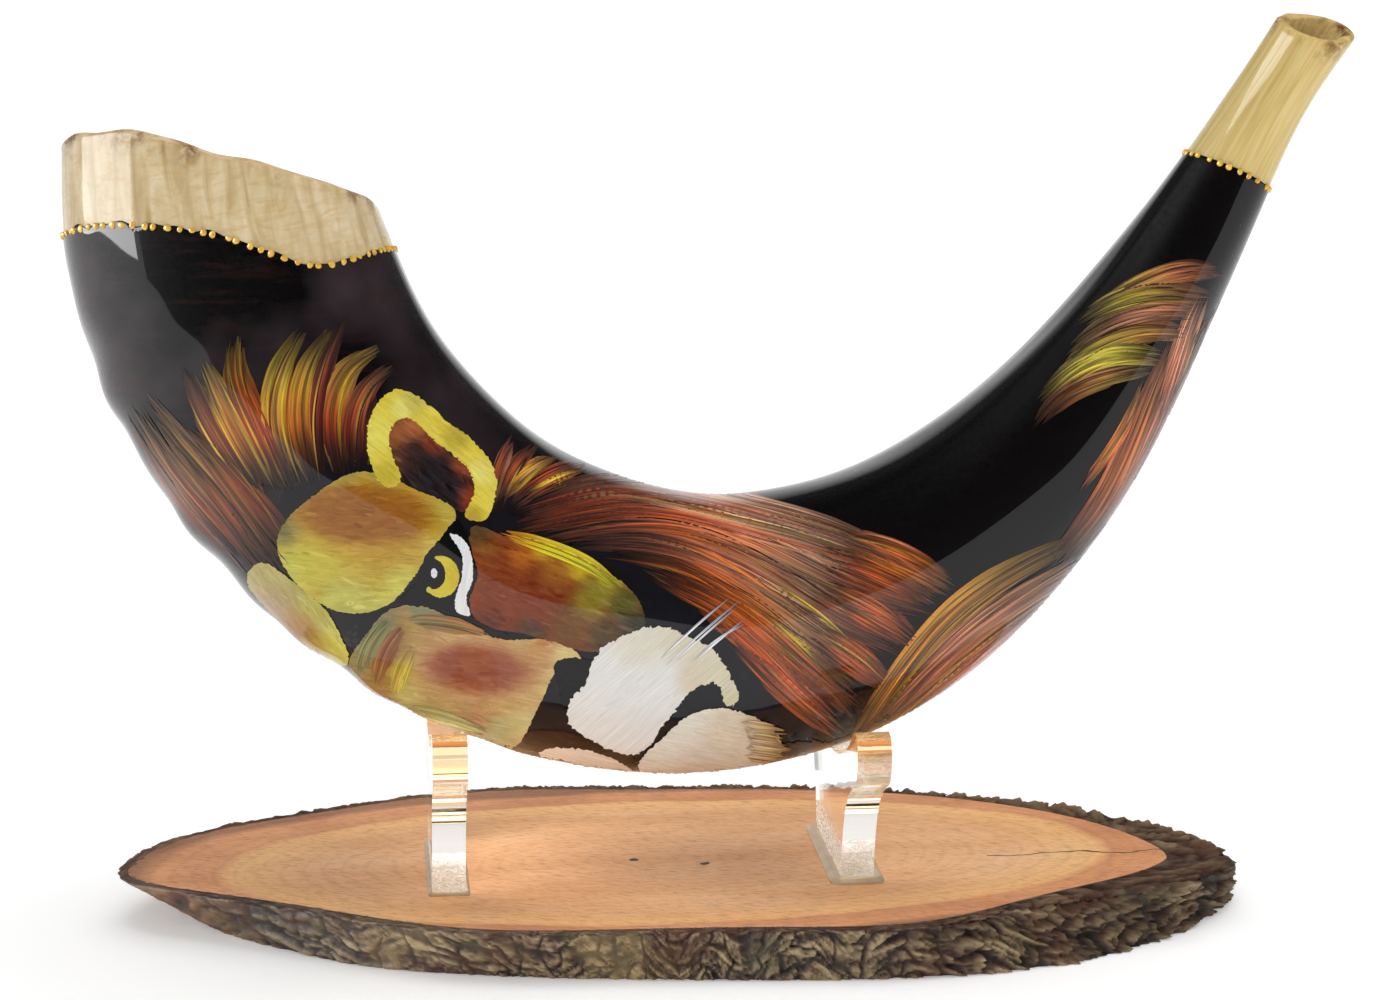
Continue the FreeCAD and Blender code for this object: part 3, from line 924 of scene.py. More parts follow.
def lock(layer, path, width, colours, count, lift, hair=HAIR, ragged=0.3, accents=(), fade=0.7):
    """A lock of hair painted from root to tip: a broad wash, then brush marks, then fine hairs."""
    path = cubic(path, 60)
    run = np.linspace(0, 1, 60)
    length = np.linalg.norm(np.diff(path, axis=0), axis=1).sum()
    side = np.gradient(path, axis=0)
    side = unit(np.stack([-side[:, 1], side[:, 0]], 1))
    spots = np.linspace(0, 1, len(colours))
    # All the marks share their cross-sections, so that none cuts through its neighbour.
    sections = max(8, int(length / (SHORT_STEP if length < LONG_LOCK else LONG_STEP)))
    for share, broad, jitter, height in PASSES:
        for k in range(int(count * share)):
            lane = random.uniform(-0.5, 0.5)
            start = random.uniform(0, ragged)
            end = random.uniform(1 - ragged, 1.0) - 0.5 * ragged * abs(lane)
            first = int(round(start * sections))
            t = np.arange(first, max(first + 5, int(round(end * sections))) + 1) / sections
            t = np.minimum(t, 1.0)
            steps = len(t)
            spread = (0.62 + 0.45 * np.sin(np.pi * np.clip(t * 0.85 + 0.1, 0, 1))) * width
            drift = lane + 0.08 * np.sin(t * 5 + random.uniform(0, 6)) * random.uniform(-1, 1)
            axis = np.stack([np.interp(t, run, path[:, 0]), np.interp(t, run, path[:, 1])], 1)
            out = unit(np.stack([np.interp(t, run, side[:, 0]), np.interp(t, run, side[:, 1])], 1))
            axis = axis + out * (drift * spread)[:, None]
            u = np.linspace(0, 1, steps)
            taper = np.clip(np.minimum(u * 6, (1 - u) * 3.5) + 0.06, 0, 1)
            half = hair * broad * random.uniform(0.6, 1.3) * taper
            tone = np.stack([np.interp(t, spots, [c[i] for c in colours]) for i in range(3)], 1)
            if accents and random.uniform() < 0.28 * (1.3 - share):
                accent = np.array(accents[random.integers(len(accents))], float)
                tone = tone * 0.35 + accent * 0.65
            tone = tone * random.uniform(1 - jitter * 1.3, 1 + jitter) + random.normal(0, 20 * jitter, 3)
            body = np.clip(np.minimum(u * 3, (1 - u) * 2.5), 0, 1)[:, None]
            tone = GROUND + (tone - GROUND) * (1 - fade + fade * body)
            points = np.concatenate([axis - out * half[:, None], axis, axis + out * half[:, None]])
            faces = [(i, i + 1, steps + i + 1, steps + i) for i in range(2 * steps - 1)
                     if (i + 1) % steps]
            across = np.concatenate([-half, half * 0, half]) + lane * width
            stroke = np.stack([np.tile(t * length, 3), across, np.full(3 * steps, lift * 50)], 1)
            layer.add(points, faces, lift + (height + 0.03 * random.uniform()) * hair / HAIR,
                      np.clip(np.tile(tone, (3, 1)), *PAINT_RANGE), stroke)


# Outlines of the face's painted areas.
FACE_SHADOW = [(-96, 86), (-92, 98), (-84, 108), (-72, 114), (-62, 112.5), (-52, 107), (-44, 101),
               (-34, 100), (-22, 96.5), (-6, 91), (6, 83), (16, 78), (26, 70), (36, 60), (47, 49),
               (52, 42), (38, 36), (18, 33), (-4, 33), (-26, 37), (-45, 43), (-62, 51), (-74, 61),
               (-82, 69), (-92, 79)]
FOREHEAD = [(-88, 94), (-84, 101.5), (-77.5, 106.5), (-70.5, 110.5), (-62, 110), (-54.5, 106),
            (-45.5, 100.5), (-49.5, 93), (-53, 89), (-60.5, 79.5), (-70, 76.5), (-76, 78),
            (-82, 82.5), (-87, 89.5)]
SIDE_CHEEK = [(-95, 87), (-92, 89.5), (-88.5, 88), (-83, 83.5), (-76.5, 77), (-73, 70), (-72, 64),
              (-75.5, 64.5), (-83, 70), (-91.5, 79)]
LOWER_CHEEK = [(-71.5, 63.5), (-67.5, 71), (-62, 77), (-54, 78), (-46, 74), (-32.5, 69), (-18, 66.5),
               (-15.5, 63), (-21, 61), (-24.5, 55.5), (-27.5, 49.5), (-32.5, 42), (-41.5, 44),
               (-52.5, 48.5), (-61, 53.5), (-68.5, 59)]
SNOUT = [(-41.5, 97), (-36, 95.5), (-27, 91.5), (-14.5, 87), (-8, 84), (-1.5, 77.5), (-0.5, 71),
         (-11, 65.5), (-21, 67.5), (-32.5, 71), (-40.5, 73.5), (-42.5, 79), (-40.5, 85), (-42, 91.5)]
EAR_RIM = [(-66, 122), (-63.5, 127.5), (-59, 130.5), (-54.5, 129), (-49.5, 124.5), (-40.5, 117),
           (-36, 109.5), (-36.6, 102), (-39.5, 98.3), (-43.2, 99.4), (-41.6, 104), (-41.3, 108.3),
           (-45, 113.8), (-52, 119.8), (-57, 123.8), (-60.2, 122), (-61, 117.5), (-59.4, 112),
           (-58.6, 108.4), (-60.8, 107), (-64.4, 110), (-66, 115.5)]
EAR_INSIDE = [(-61, 122), (-57, 125.5), (-51.5, 120.5), (-43.5, 115), (-39.5, 108.5), (-41, 101),
              (-45.5, 101), (-51.5, 103.5), (-57.5, 107.5), (-60, 113.5)]
EYE_DARK = [(-45.5, 98.5), (-42, 92), (-42.5, 85), (-44.5, 79), (-39, 73), (-33, 70), (-45, 75),
            (-52, 77.5), (-59.5, 79), (-55, 84), (-53, 90), (-49.5, 94)]
EYE_WHITE = [(-47, 95.5), (-44.5, 94.5), (-42.3, 91.5), (-41.6, 87.5), (-42.2, 82.5), (-43.3, 79),
             (-42.5, 75.3), (-45.2, 76), (-46, 79), (-44.8, 83), (-44, 87.5), (-45, 92)]
MUZZLE = [(-14.5, 58), (-13.5, 62), (-11, 66), (-5, 69.5), (2, 71.5), (10.5, 68.5), (17, 64.5),
          (21, 57.5), (22, 52), (20, 51), (18, 56), (12.5, 56), (7.5, 51), (3, 45), (-1.5, 40),
          (-7.5, 40.5), (-14, 44), (-18, 47), (-19, 52), (-17, 55.5)]
CHIN_LEFT = [(-26, 40.5), (-17.5, 41.5), (-9, 39), (-4.5, 36.5), (-2, 32), (-11.5, 33), (-20, 35.5)]
CHIN_RIGHT = [(-2, 36), (3.5, 43), (10.5, 49), (18, 50.5), (25.5, 48.5), (31.5, 44), (33.5, 40),
              (29, 36), (18, 33.5), (3, 32)]
NOSTRIL = [(-22, 63), (-16, 64), (-11.5, 62), (-11, 58), (-14, 53), (-15, 50), (-19, 50), (-21, 56)]

# Brushed arcs round the cheek: path, width, colours along it, number of bristles.
CHEEK_ARCS = [
    ([(-68.5, 62), (-66, 69), (-61, 75)], 3, [(150, 142, 92), (140, 134, 88), (130, 130, 88)], 20),
    ([(-65, 59), (-63, 66), (-58, 73.5)], 3, [(176, 130, 70), (146, 92, 62), (150, 112, 74)], 20),
    ([(-60.5, 56.5), (-59, 62), (-56, 68)], 3, [(226, 206, 96), (214, 186, 76), (170, 140, 80)], 20),
    ([(-57, 74.5), (-48, 73.5), (-38, 70.5)], 2.4, [(150, 138, 90), (164, 124, 74), (196, 128, 68)], 22),
    ([(-59, 53), (-48, 49.5), (-38, 46)], 3, [(212, 196, 110), (226, 212, 130), (196, 190, 120)], 24),
]


def build_face(canvas, material):
    """The lion's face: flat areas of paint with soft changes of tone."""
    face = Layer()
    patch(face, FACE_SHADOW, (24, 22, 28), [(-78, 108, 8, (16, 16, 28)), (20, 55, 14, (22, 22, 30))],
          0.02, ("line", -20), 0.5, 1.5, 4)
    patch(face, [(-34, 43.5), (-21, 46), (-11, 43), (-3, 38), (-4, 34), (-20, 39), (-30, 40)],
          (44, 20, 14), [], 0.20, ("line", -15), 0.2)
    patch(face, [(26, 38), (38, 41.5), (52, 43), (60, 48), (56, 40), (40, 35)], (48, 24, 14), [],
          0.20, ("line", 10), 0.3)
    patch(face, FOREHEAD, (212, 186, 72), [
        (-66.5, 99.5, (16.5, 8.2, -4, 3.0), (206, 164, 52)), (-67, 100.4, (12.6, 5.8, -4, 24), (158, 92, 26)),
        (-66, 101, 5, (172, 104, 26)), (-58, 99, 5, (172, 108, 30)), (-73, 98, 4.5, (182, 118, 34)),
        (-65, 94, 5, (194, 138, 42)), (-55, 94, 4, (206, 164, 60)), (-66, 87, 5, (210, 176, 60)),
        (-78, 92, 5, (214, 200, 72)), (-70, 80, 5, (206, 204, 100)), (-60, 82, 4, (216, 210, 94)),
        (-85, 98, 3, (112, 110, 66)), (-80, 104, 3, (136, 128, 72)), (-72, 109, 3, (172, 152, 80)),
        (-62, 109, 3, (176, 164, 86)), (-48, 101, 4, (204, 186, 84)), (-85, 88, 3, (206, 200, 84)),
        (-50, 92, 3, (224, 210, 90))], 0.22, ("line", -6), 0.1, dabs=520)
    patch(face, SIDE_CHEEK, (224, 212, 132), [
        (-93, 88, 4, (196, 180, 112)), (-86, 84, 4, (196, 184, 104)), (-79, 78, 4, (196, 188, 84)),
        (-74, 68, 4, (224, 216, 92)), (-84, 73, 4, (188, 134, 70)), (-89, 80, 4, (190, 156, 112)),
        (-79, 67, 3, (210, 170, 70))], 0.22, ("line", -52), 0.1, dabs=160)
    patch(face, LOWER_CHEEK, (190, 140, 100), [
        (-40, 61.6, (16.5, 8.8, -8, 6), (222, 186, 122)), (-40.5, 62, (12.2, 6.2, -8, 16), (184, 116, 78)),
        (-41, 62, (9.6, 4.6, -8, 60), (150, 70, 52)),
        (-69, 66, 3.5, (160, 152, 98)), (-64, 74, 3.5, (140, 136, 90)), (-54, 77.5, 2.5, (140, 146, 104)),
        (-46, 74, 2.5, (120, 124, 90)), (-62, 68, 4, (140, 96, 70)), (-56, 71, 4, (182, 152, 80)),
        (-58, 62, 4, (206, 184, 74)), (-64, 60, 3, (180, 140, 66)), (-52, 67, 4, (172, 112, 80)),
        (-48, 60, 5, (168, 96, 78)), (-38, 62, 6, (172, 86, 64)), (-28, 63, 4, (184, 92, 60)),
        (-36, 68.5, 2, (196, 102, 50)), (-26, 66.5, 2, (216, 150, 80)), (-19, 65, 3, (238, 216, 140)),
        (-24, 58, 3, (242, 226, 150)), (-30, 49, 4, (226, 214, 150)), (-36, 46, 3.5, (188, 184, 120)),
        (-42, 51, 4, (192, 144, 96)), (-50, 53, 4, (206, 182, 106)), (-40, 57, 4, (164, 80, 70)),
        (-31, 56, 3, (214, 166, 110)), (-57, 56, 3, (226, 212, 130))], 0.22, ("line", -12), 0.1, dabs=420)
    for path, width, colours, count in CHEEK_ARCS:
        lock(face, path, width, colours, count, 0.25, 0.4, 0.2, fade=0)
    patch(face, SNOUT, (142, 66, 30), [
        (-36, 84, 6, (144, 66, 30)), (-26, 80, 6, (138, 62, 30)), (-30, 89, 2.5, (204, 116, 30)),
        (-25, 91, 2, (232, 194, 40)), (-16, 87, 2.5, (234, 208, 50)), (-9, 83.5, 2.5, (206, 196, 60)),
        (-12, 80, 3, (146, 138, 50)), (-5, 77, 3, (104, 104, 48)), (-2, 71, 3, (58, 56, 38)),
        (-10, 69, 3, (92, 74, 40)), (-18, 73, 4, (122, 82, 34)), (-14, 77, 3, (156, 136, 40)),
        (-40, 95.5, 2.5, (96, 74, 40)), (-38, 91, 2.5, (150, 92, 34)), (-38, 74, 2.5, (112, 52, 32)),
        (-28, 71, 2.5, (84, 62, 44)), (-22, 85, 3, (184, 124, 36))], 0.22, ("line", -24), 0.1, dabs=420)
    lock(face, [(-35, 95.4), (-24, 91.4), (-13, 86.2), (-5, 80)], 2.4,
         [(190, 110, 30), (240, 204, 48), (234, 210, 56), (150, 140, 50)], 36, 0.27, 0.35, 0.2, fade=0)
    patch(face, EAR_INSIDE, (70, 42, 38), [
        (-60, 120, 2.5, (168, 96, 54)), (-55, 122.5, 2.5, (200, 116, 64)), (-50, 118, 2.2, (152, 62, 36)),
        (-43.5, 112, 2.2, (156, 68, 44)), (-42.5, 104, 2.2, (168, 62, 36)), (-59.5, 113, 2.2, (112, 60, 40)),
        (-52, 109, 4, (36, 32, 36)), (-47, 105, 3.5, (38, 32, 36)), (-56, 112, 3, (58, 40, 36))],
        0.21, ("line", -40), 0.2, dabs=160)
    patch(face, EAR_RIM, (238, 216, 76), [
        (-55, 128, 2, (214, 196, 90)), (-38.5, 103, 3, (242, 222, 80)), (-64, 120, 3, (250, 236, 104)),
        (-58, 126, 1.6, (250, 240, 130)), (-45, 119, 2, (206, 182, 66)), (-39, 110, 2, (248, 234, 120)),
        (-62, 110, 2, (214, 190, 64)), (-41, 100, 1.6, (196, 166, 60))],
        0.24, ("line", -40), 0.16, 0.6, 16, dabs=140)
    patch(face, EYE_DARK, (8, 8, 10), [], 0.24, ("line", -60), 0.12, 0.75, 3)
    patch(face, NOSTRIL, (7, 7, 9), [], 0.24, ("line", 60), 0.2, 0.75, 3)
    patch(face, EYE_WHITE, (252, 252, 252), [], 0.26, ("line", 80), 0.08, 0.5, 5)
    iris = [(-49.3 + 4.4 * math.cos(a), 85.0 + 5.1 * math.sin(a)) for a in np.linspace(-2.5, 1.9, 16)]
    iris += [(-50.8 + 2.6 * math.cos(a), 85.6 + 3.6 * math.sin(a)) for a in np.linspace(1.3, -2.2, 12)]
    patch(face, iris, (232, 212, 62), [(-45, 85, 2, (226, 196, 48))], 0.26, ("round", -50, 85), 0.05, 0.4, 8)
    glint = [(-50.9 + 0.75 * math.cos(a), 85.9 + 1.25 * math.sin(a)) for a in np.linspace(0, 5.6, 9)]
    patch(face, glint, (240, 240, 244), [], 0.27, ("line", 0), 0.03, 0.35, 4)
    patch(face, MUZZLE, (250, 249, 244), [
        (14, 66, 4, (240, 230, 204)), (8, 69, 4, (238, 228, 200)), (19, 60, 3, (234, 226, 192)),
        (-2, 67, 4, (244, 238, 218)), (12, 58, 3, (238, 224, 194)), (21, 53, 2, (226, 218, 176)),
        (-4, 52, 8, (252, 251, 248))], 0.42, ("line", 40), 0.22, 0.6, 5, dabs=150)
    patch(face, CHIN_LEFT, (246, 232, 216), [], 0.26, ("line", -15), 0.15, 0.7, 7)
    patch(face, CHIN_RIGHT, (249, 243, 230), [
        (10, 46, 4, (250, 246, 234)), (20, 44, 5, (240, 226, 202)), (30, 41, 3, (208, 172, 114)),
        (27, 46, 3, (216, 190, 150)), (14, 37, 4, (240, 228, 214))],
        0.26, ("line", -12), 0.15, 0.6, 12, dabs=140)
    for z in np.linspace(37.5, 46, 13):
        reach = random.uniform(1.5, 4.5)
        start = 32.5 - abs(z - 41) * 0.5
        lock(face, [(start - 7, z + 1.2), (start - 2, z + 0.4), (start + reach, z - 0.4)], 1.2,
             [(232, 214, 184), (214, 184, 134), (190, 150, 90)], 4, 0.44, 0.3, 0.2, fade=0.15)
    return face.finish("lion_face", canvas, material)


YELLOW = (232, 196, 56)
DARK = (44, 26, 22)
ROSE = (186, 128, 104)
RUST = (150, 56, 26)
OLIVE = (150, 134, 58)
ORANGE = (204, 92, 32)

# Each lock: path from root to tip, width, colours from root to tip, number of bristles.
MANE_LEFT = [
    ([(-90, 86), (-101, 101), (-112, 116), (-121, 131)], 11,
     [(84, 46, 34), (146, 100, 70), (160, 130, 86)], 26),
    ([(-84, 88), (-93, 100), (-102, 112), (-111, 123)], 9,
     [(60, 30, 24), (134, 72, 44), (168, 126, 66)], 28),
    ([(-92, 106), (-102, 122), (-109, 138)], 4.4, [(90, 40, 24), (130, 66, 44), (110, 74, 58)], 18),
    ([(-89, 106), (-98, 123), (-104.5, 139)], 4.4, [(84, 36, 22), (178, 112, 44), (226, 192, 62)], 24),
    ([(-86, 106), (-93, 124), (-96.5, 135), (-96, 144)], 5.2,
     [(46, 18, 14), (176, 70, 24), (170, 84, 28), (228, 194, 56)], 44),
    ([(-83, 107), (-88, 124), (-85.5, 137), (-80, 146)], 4.6,
     [(50, 22, 18), (190, 120, 50), (216, 180, 60), (176, 150, 66)], 30),
    ([(-79, 108), (-82, 125), (-79, 138), (-73, 147)], 3.4,
     [(46, 20, 16), (170, 94, 36), (206, 160, 56), (110, 96, 66)], 24),
    ([(-77, 109), (-78, 124), (-75, 138), (-70, 149)], 3,
     [(50, 22, 20), (120, 44, 32), (130, 66, 50), (96, 66, 56)], 18),
    ([(-73, 110), (-74.5, 124), (-70, 136), (-62, 141)], 4,
     [(50, 22, 18), (160, 62, 30), (206, 150, 60), (206, 176, 84)], 28),
    ([(-69, 111), (-69, 123), (-65, 132), (-59, 137)], 4.2,
     [(44, 20, 18), (130, 52, 34), (164, 92, 60), (130, 100, 66)], 24),
    ([(-66, 111), (-65.5, 121), (-64, 130)], 2.2, [(34, 20, 18), (100, 44, 34), (76, 44, 40)], 8),
]
MANE_RIGHT = [
    ([(-37, 101), (-35.5, 110), (-31, 120)], 2.2, [(90, 44, 30), (150, 76, 52), (140, 90, 70)], 12),
    ([(-35, 102), (-31, 112), (-25, 118)], 2.6, [(110, 50, 30), (164, 76, 44), (120, 64, 50)], 16),
    ([(-34, 104), (-28, 110), (-20, 114)], 2.6, [(180, 110, 40), (206, 160, 60), (180, 120, 60)], 16),
    ([(-32, 102), (-24, 108), (-12, 112)], 3.4, [(120, 56, 34), (178, 84, 44), (150, 90, 60)], 22),
    ([(-28, 105), (-21, 108.5), (-15, 110)], 2.2, [(226, 180, 50), (236, 196, 60), (200, 150, 60)], 16),
    ([(-30, 100), (-11, 106), (8, 103.5), (26, 99), (46, 93), (70, 81)], 7,
     [(150, 70, 40), (196, 140, 108), (206, 160, 126), (180, 104, 66)], 90),
    ([(-31, 97.5), (-5, 102), (24, 97), (48, 89), (72, 78)], 8,
     [(186, 66, 28), (190, 86, 50), (196, 140, 110), (176, 96, 64)], 110),
    ([(-26, 95), (1, 98.5), (30, 90), (54, 78), (72, 72)], 9,
     [(150, 70, 44), (192, 92, 48), (184, 140, 110), (186, 76, 38)], 110),
    ([(-20, 94), (3, 94), (28, 84), (49, 71), (66, 62)], 9,
     [(90, 50, 40), (180, 104, 72), (182, 136, 104), (190, 84, 44)], 105),
    ([(-10, 92), (8, 89), (28, 77), (46, 64), (60, 54)], 9,
     [(40, 28, 28), (188, 92, 40), (176, 128, 92), (196, 92, 50)], 100),
    ([(0, 87), (15, 80), (30, 70), (43, 58), (54, 49)], 8,
     [(60, 34, 26), (196, 90, 30), (160, 120, 60), (204, 104, 66)], 90),
    ([(4, 84), (20, 76), (34, 64), (46, 53), (52, 46)], 6,
     [(206, 96, 26), (194, 90, 36), (192, 84, 40), (208, 112, 78)], 60),
    ([(12, 78), (25, 68), (36, 57), (47, 47)], 5, [(200, 100, 30), (186, 84, 34), (206, 108, 74)], 44),
    ([(22, 68), (33, 57), (43, 48), (50, 42)], 6, [(150, 70, 30), (200, 96, 50), (210, 120, 90)], 46),
    ([(10, 103.5), (19, 101.5), (28, 99)], 1.6, [(236, 200, 50), (246, 220, 70), (220, 190, 60)], 10),
    ([(46, 92), (60, 87), (76, 78)], 8, [(150, 80, 50), (190, 96, 40), (206, 110, 40)], 60),
    ([(42, 88), (58, 82), (71, 75)], 7, [(140, 70, 44), (186, 92, 44), (176, 84, 40)], 60),
    ([(42, 80), (56, 73), (67, 65)], 7, [(160, 92, 60), (180, 88, 44), (186, 84, 40)], 60),
    ([(40, 70), (52, 62), (61, 54)], 6, [(150, 84, 50), (184, 86, 40), (196, 96, 54)], 50),
    ([(26, 84), (42, 73), (55, 60)], 2, [(150, 130, 50), (190, 160, 50), (150, 120, 40)], 10),
    ([(26, 76), (40, 64), (48, 54)], 2.4, [(140, 120, 50), (200, 160, 50), (160, 120, 40)], 14),
]
MANE_FAR = [
    ([(45, 39), (58, 42), (73, 48), (92, 61)], 6, [(140, 84, 30), (168, 108, 34), (140, 88, 34)], 70),
    ([(49, 38), (60, 54), (76, 73), (96, 86), (111, 93)], 5,
     [(196, 120, 60), (212, 142, 60), (206, 150, 60), (186, 150, 60)], 80),
    ([(51, 37), (64, 50), (82, 67), (103, 81), (117, 90)], 9,
     [(180, 100, 70), (192, 120, 90), (190, 130, 96), (196, 150, 90)], 110),
    ([(53, 37), (69, 48), (87, 62), (105, 76), (118, 85)], 9,
     [(170, 90, 64), (176, 106, 86), (170, 110, 90), (186, 130, 90)], 110),
    ([(55, 39), (72, 46), (88, 56), (104, 67)], 8, [(160, 100, 50), (170, 116, 90), (180, 130, 90)], 80),
    ([(99, 84), (109, 95), (118, 112), (124, 128), (129, 142)], 6,
     [(110, 70, 40), (170, 90, 50), (204, 112, 60), (214, 130, 90)], 70),
    ([(104, 83), (115, 96), (124, 112), (131, 130), (137, 146)], 6,
     [(90, 60, 50), (150, 100, 84), (196, 120, 92), (224, 150, 110)], 70),
    ([(109, 86), (119, 99), (128, 117), (136, 137), (142, 152)], 5,
     [(120, 90, 80), (176, 120, 100), (206, 140, 110), (220, 160, 120)], 50),
    ([(106, 102), (113, 112), (119, 123), (121, 130)], 2.2,
     [(196, 90, 40), (224, 122, 60), (200, 160, 60)], 16),
    ([(140, 156), (130, 156), (118, 152), (108, 147)], 4,
     [(170, 90, 60), (196, 120, 80), (190, 160, 60), (150, 130, 50)], 40),
    ([(137, 150), (124, 151), (112, 148), (104, 143)], 4.5,
     [(190, 110, 80), (150, 110, 60), (196, 176, 66), (140, 126, 50)], 50),
    ([(135, 146), (122, 146), (110, 142), (102, 136)], 4,
     [(206, 130, 96), (190, 130, 90), (120, 90, 60), (150, 130, 60)], 44),
    ([(133, 141), (121, 141.5), (109, 138), (100, 131)], 4,
     [(210, 130, 90), (196, 140, 70), (206, 180, 70), (160, 140, 60)], 46),
    ([(126, 135), (115, 136), (104, 132), (95, 124)], 5,
     [(176, 160, 60), (196, 186, 70), (184, 168, 66), (110, 96, 40)], 56),
    ([(124, 133), (112, 131), (101, 126), (94, 118)], 4,
     [(120, 100, 60), (160, 120, 60), (130, 80, 50), (90, 50, 30)], 36),
    ([(135, 150), (132, 142), (129, 132), (124, 116)], 4,
     [(216, 150, 110), (222, 146, 110), (206, 120, 80), (196, 130, 60)], 44),
]
WHISKERS = [[(2.6, 62.5), (13, 72), (21.5, 79)], [(3.8, 61), (14, 70), (23.4, 78)],
            [(6.6, 62), (15, 69.8), (22.4, 75.8)], [(11.5, 62.6), (18, 68), (24.2, 73)],
            [(13.5, 65), (19, 68.8), (25, 72)]]


def build_mane(name, locks, canvas, material, accents, lift, hair=HAIR, ragged=0.3):
    mane = Layer()
    for path, width, colours, count in locks:
        lock(mane, path, width, colours, int(count * 1.15), lift, hair, ragged, accents)
    return mane.finish(name, canvas, material)


def build_whiskers(canvas, material):
    whiskers = Layer()
    for path in WHISKERS:
        lock(whiskers, path, 0.35, [(250, 248, 244), (226, 228, 236), (150, 150, 160)], 5, 0.5, 0.09,
             0.12, fade=0.2)
    return whiskers.finish("whiskers", canvas, material)


# ---------------------------------------------------------------- slice of wood

def outline_radius(tree, centre, direction, height, reach=0.3):
    """How far a node reaches from a vertical axis, in one direction at one height."""
    start = Vector((centre[0] + direction[0] * reach, centre[1] + direction[1] * reach, height))
    hit = tree.ray_cast(start, Vector((-direction[0], -direction[1], 0)), reach)
    return reach - hit[3] if hit[0] is not None else math.nan


def build_bark(material):
    """Bark ring with cracked plates, roughest at the right-hand end."""
    low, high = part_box("slab_bark")
    centre = ((low.x + high.x) / 2, (low.y + high.y) / 2)
    bark, wood = ray_tree(nodes["slab_bark"]), ray_tree(nodes["slab_wood"])
    count = BARK_COLUMNS
    top = high.z
    side_rows = np.linspace(0.98, 0.02, BARK_ROWS)
    rows = []
    crests = []
    ring = np.linspace(0, 2 * np.pi, count, endpoint=False)
    directions = np.stack([np.cos(ring), np.sin(ring)], 1)

    def radii(tree, height):
        found = np.array([outline_radius(tree, centre, d, height) for d in directions])
        bad = np.isnan(found)
        found[bad] = np.interp(ring[bad], ring[~bad], found[~bad])
        return found

    edge = radii(wood, top - 0.0003)
    outer_top = radii(bark, top - 0.0003)
    outer = [radii(bark, top * f) for f in side_rows]
    rough = 0.6 + 1.15 * smoothstep(0.45, 0.95, directions[:, 0]) + 0.25 * noise_at(
        np.stack([directions[:, 0], directions[:, 1], directions[:, 0] * 0], 1), 0.35, 2)

    def flakes(depth_mm):
        """Height of the bark, 0 in a fissure to 1 on a crest, along one level of the ring."""
        values = []
        for turn in ring:
            x, y = math.cos(turn), math.sin(turn)
            slant = depth_mm + 9 * noise.noise(Vector((x * 6, y * 6, 1.7)))
            bend = noise.noise(Vector((x * 15, y * 15, slant * 0.2)))
            spot = Vector((x * 9, y * 9, slant * 0.15 + bend * 0.7))
            distances = noise.voronoi(spot, distance_metric="DISTANCE", exponent=2.5)[0]
            crack = min(1.0, (distances[1] - distances[0]) / 0.09)
            layers = noise.noise(Vector((x * 13, y * 13, slant * 0.75 + bend * 1.2)))
            fibre = noise.noise(Vector((x * 60, y * 60, slant * 2.2)))
            values.append((0.25 + 0.75 * crack) * (0.52 + 0.50 * layers + 0.30 * fibre))
        return np.clip(np.array(values) * 1.2, 0, 1)

    def place(radius, height, depth_mm, amount, rise):
        crest = flakes(depth_mm)
        fine = noise_at(np.stack([directions[:, 0] * radius, directions[:, 1] * radius,
                                  np.full(count, height)], 1), 0.0016, 3)
        push = ((crest - 0.62) * 2.6 + fine * 0.5) * MM * rough * amount
        points = np.array([[centre[0] + d[0] * (r + p), centre[1] + d[1] * (r + p), height + p * rise]
                           for d, r, p in zip(directions, radius, push)])
        points[:, 2] = np.clip(points[:, 2], FLOOR_GAP, top + BARK_RISE)
        rows.append(points)
        crests.append(np.clip(crest + 0.2 * fine, 0, 1))

    place(edge - 0.0006, top - 0.002, -3.0, 0.0, 0.0)
    place(edge - 0.0002, top, -2.6, 0.0, 0.0)
    for t in np.linspace(0.08, 0.95, 12):
        place(edge * (1 - t) + outer_top * t, top, -6.0 * (1 - t), 0.15 + 0.5 * t, 0.9)
    for f, radius in zip(side_rows, outer):
        place(radius, top * f, top * (1 - f) / MM, 1.0, 0.0)
    place(outer[-1] - 0.0012, FLOOR_GAP, 12.0, 0.3, 0.0)
    place(np.minimum(edge, outer[-1]) - 0.008, FLOOR_GAP, 12.0, 0.0, 0.0)
    vertices = np.concatenate(rows)
    piece = make_piece("rough_bark_ring", vertices, grid_faces(len(rows), count, True), material,
                       "stand", {"crest": ("FLOAT", np.concatenate(crests))})
    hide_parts("slab_bark")


# ---------------------------------------------------------------- build everything

surface = HornSurface()
horn = build_horn(surface)
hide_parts("horn")
coat = build_coat(surface)
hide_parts("ground_coat")
canvas = Canvas(coat)
strokes = painted_material("mane_strokes", 0.42, 0.84, 1.28)
build_face(canvas, painted_material("face_strokes", 0.66, 0.78, 0.9))
build_mane("mane_left", MANE_LEFT, canvas, strokes, (YELLOW, YELLOW, DARK, RUST), 0.05, 0.55, 0.2)
build_mane("mane_right", MANE_RIGHT, canvas, strokes, (ROSE, DARK, ORANGE, OLIVE), 0.05)
build_mane("mane_far", MANE_FAR, canvas, strokes, (ROSE, OLIVE, DARK), 0.05)
build_whiskers(canvas, strokes)
gold = gold_material()
skins = (ray_tree(horn), ray_tree(coat))
for beads in ("bell_dots", "mouthpiece_dots"):
    piece = build_beads(beads, "painted_" + beads, skins, gold)
    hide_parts(beads)
build_bark(bark_material())

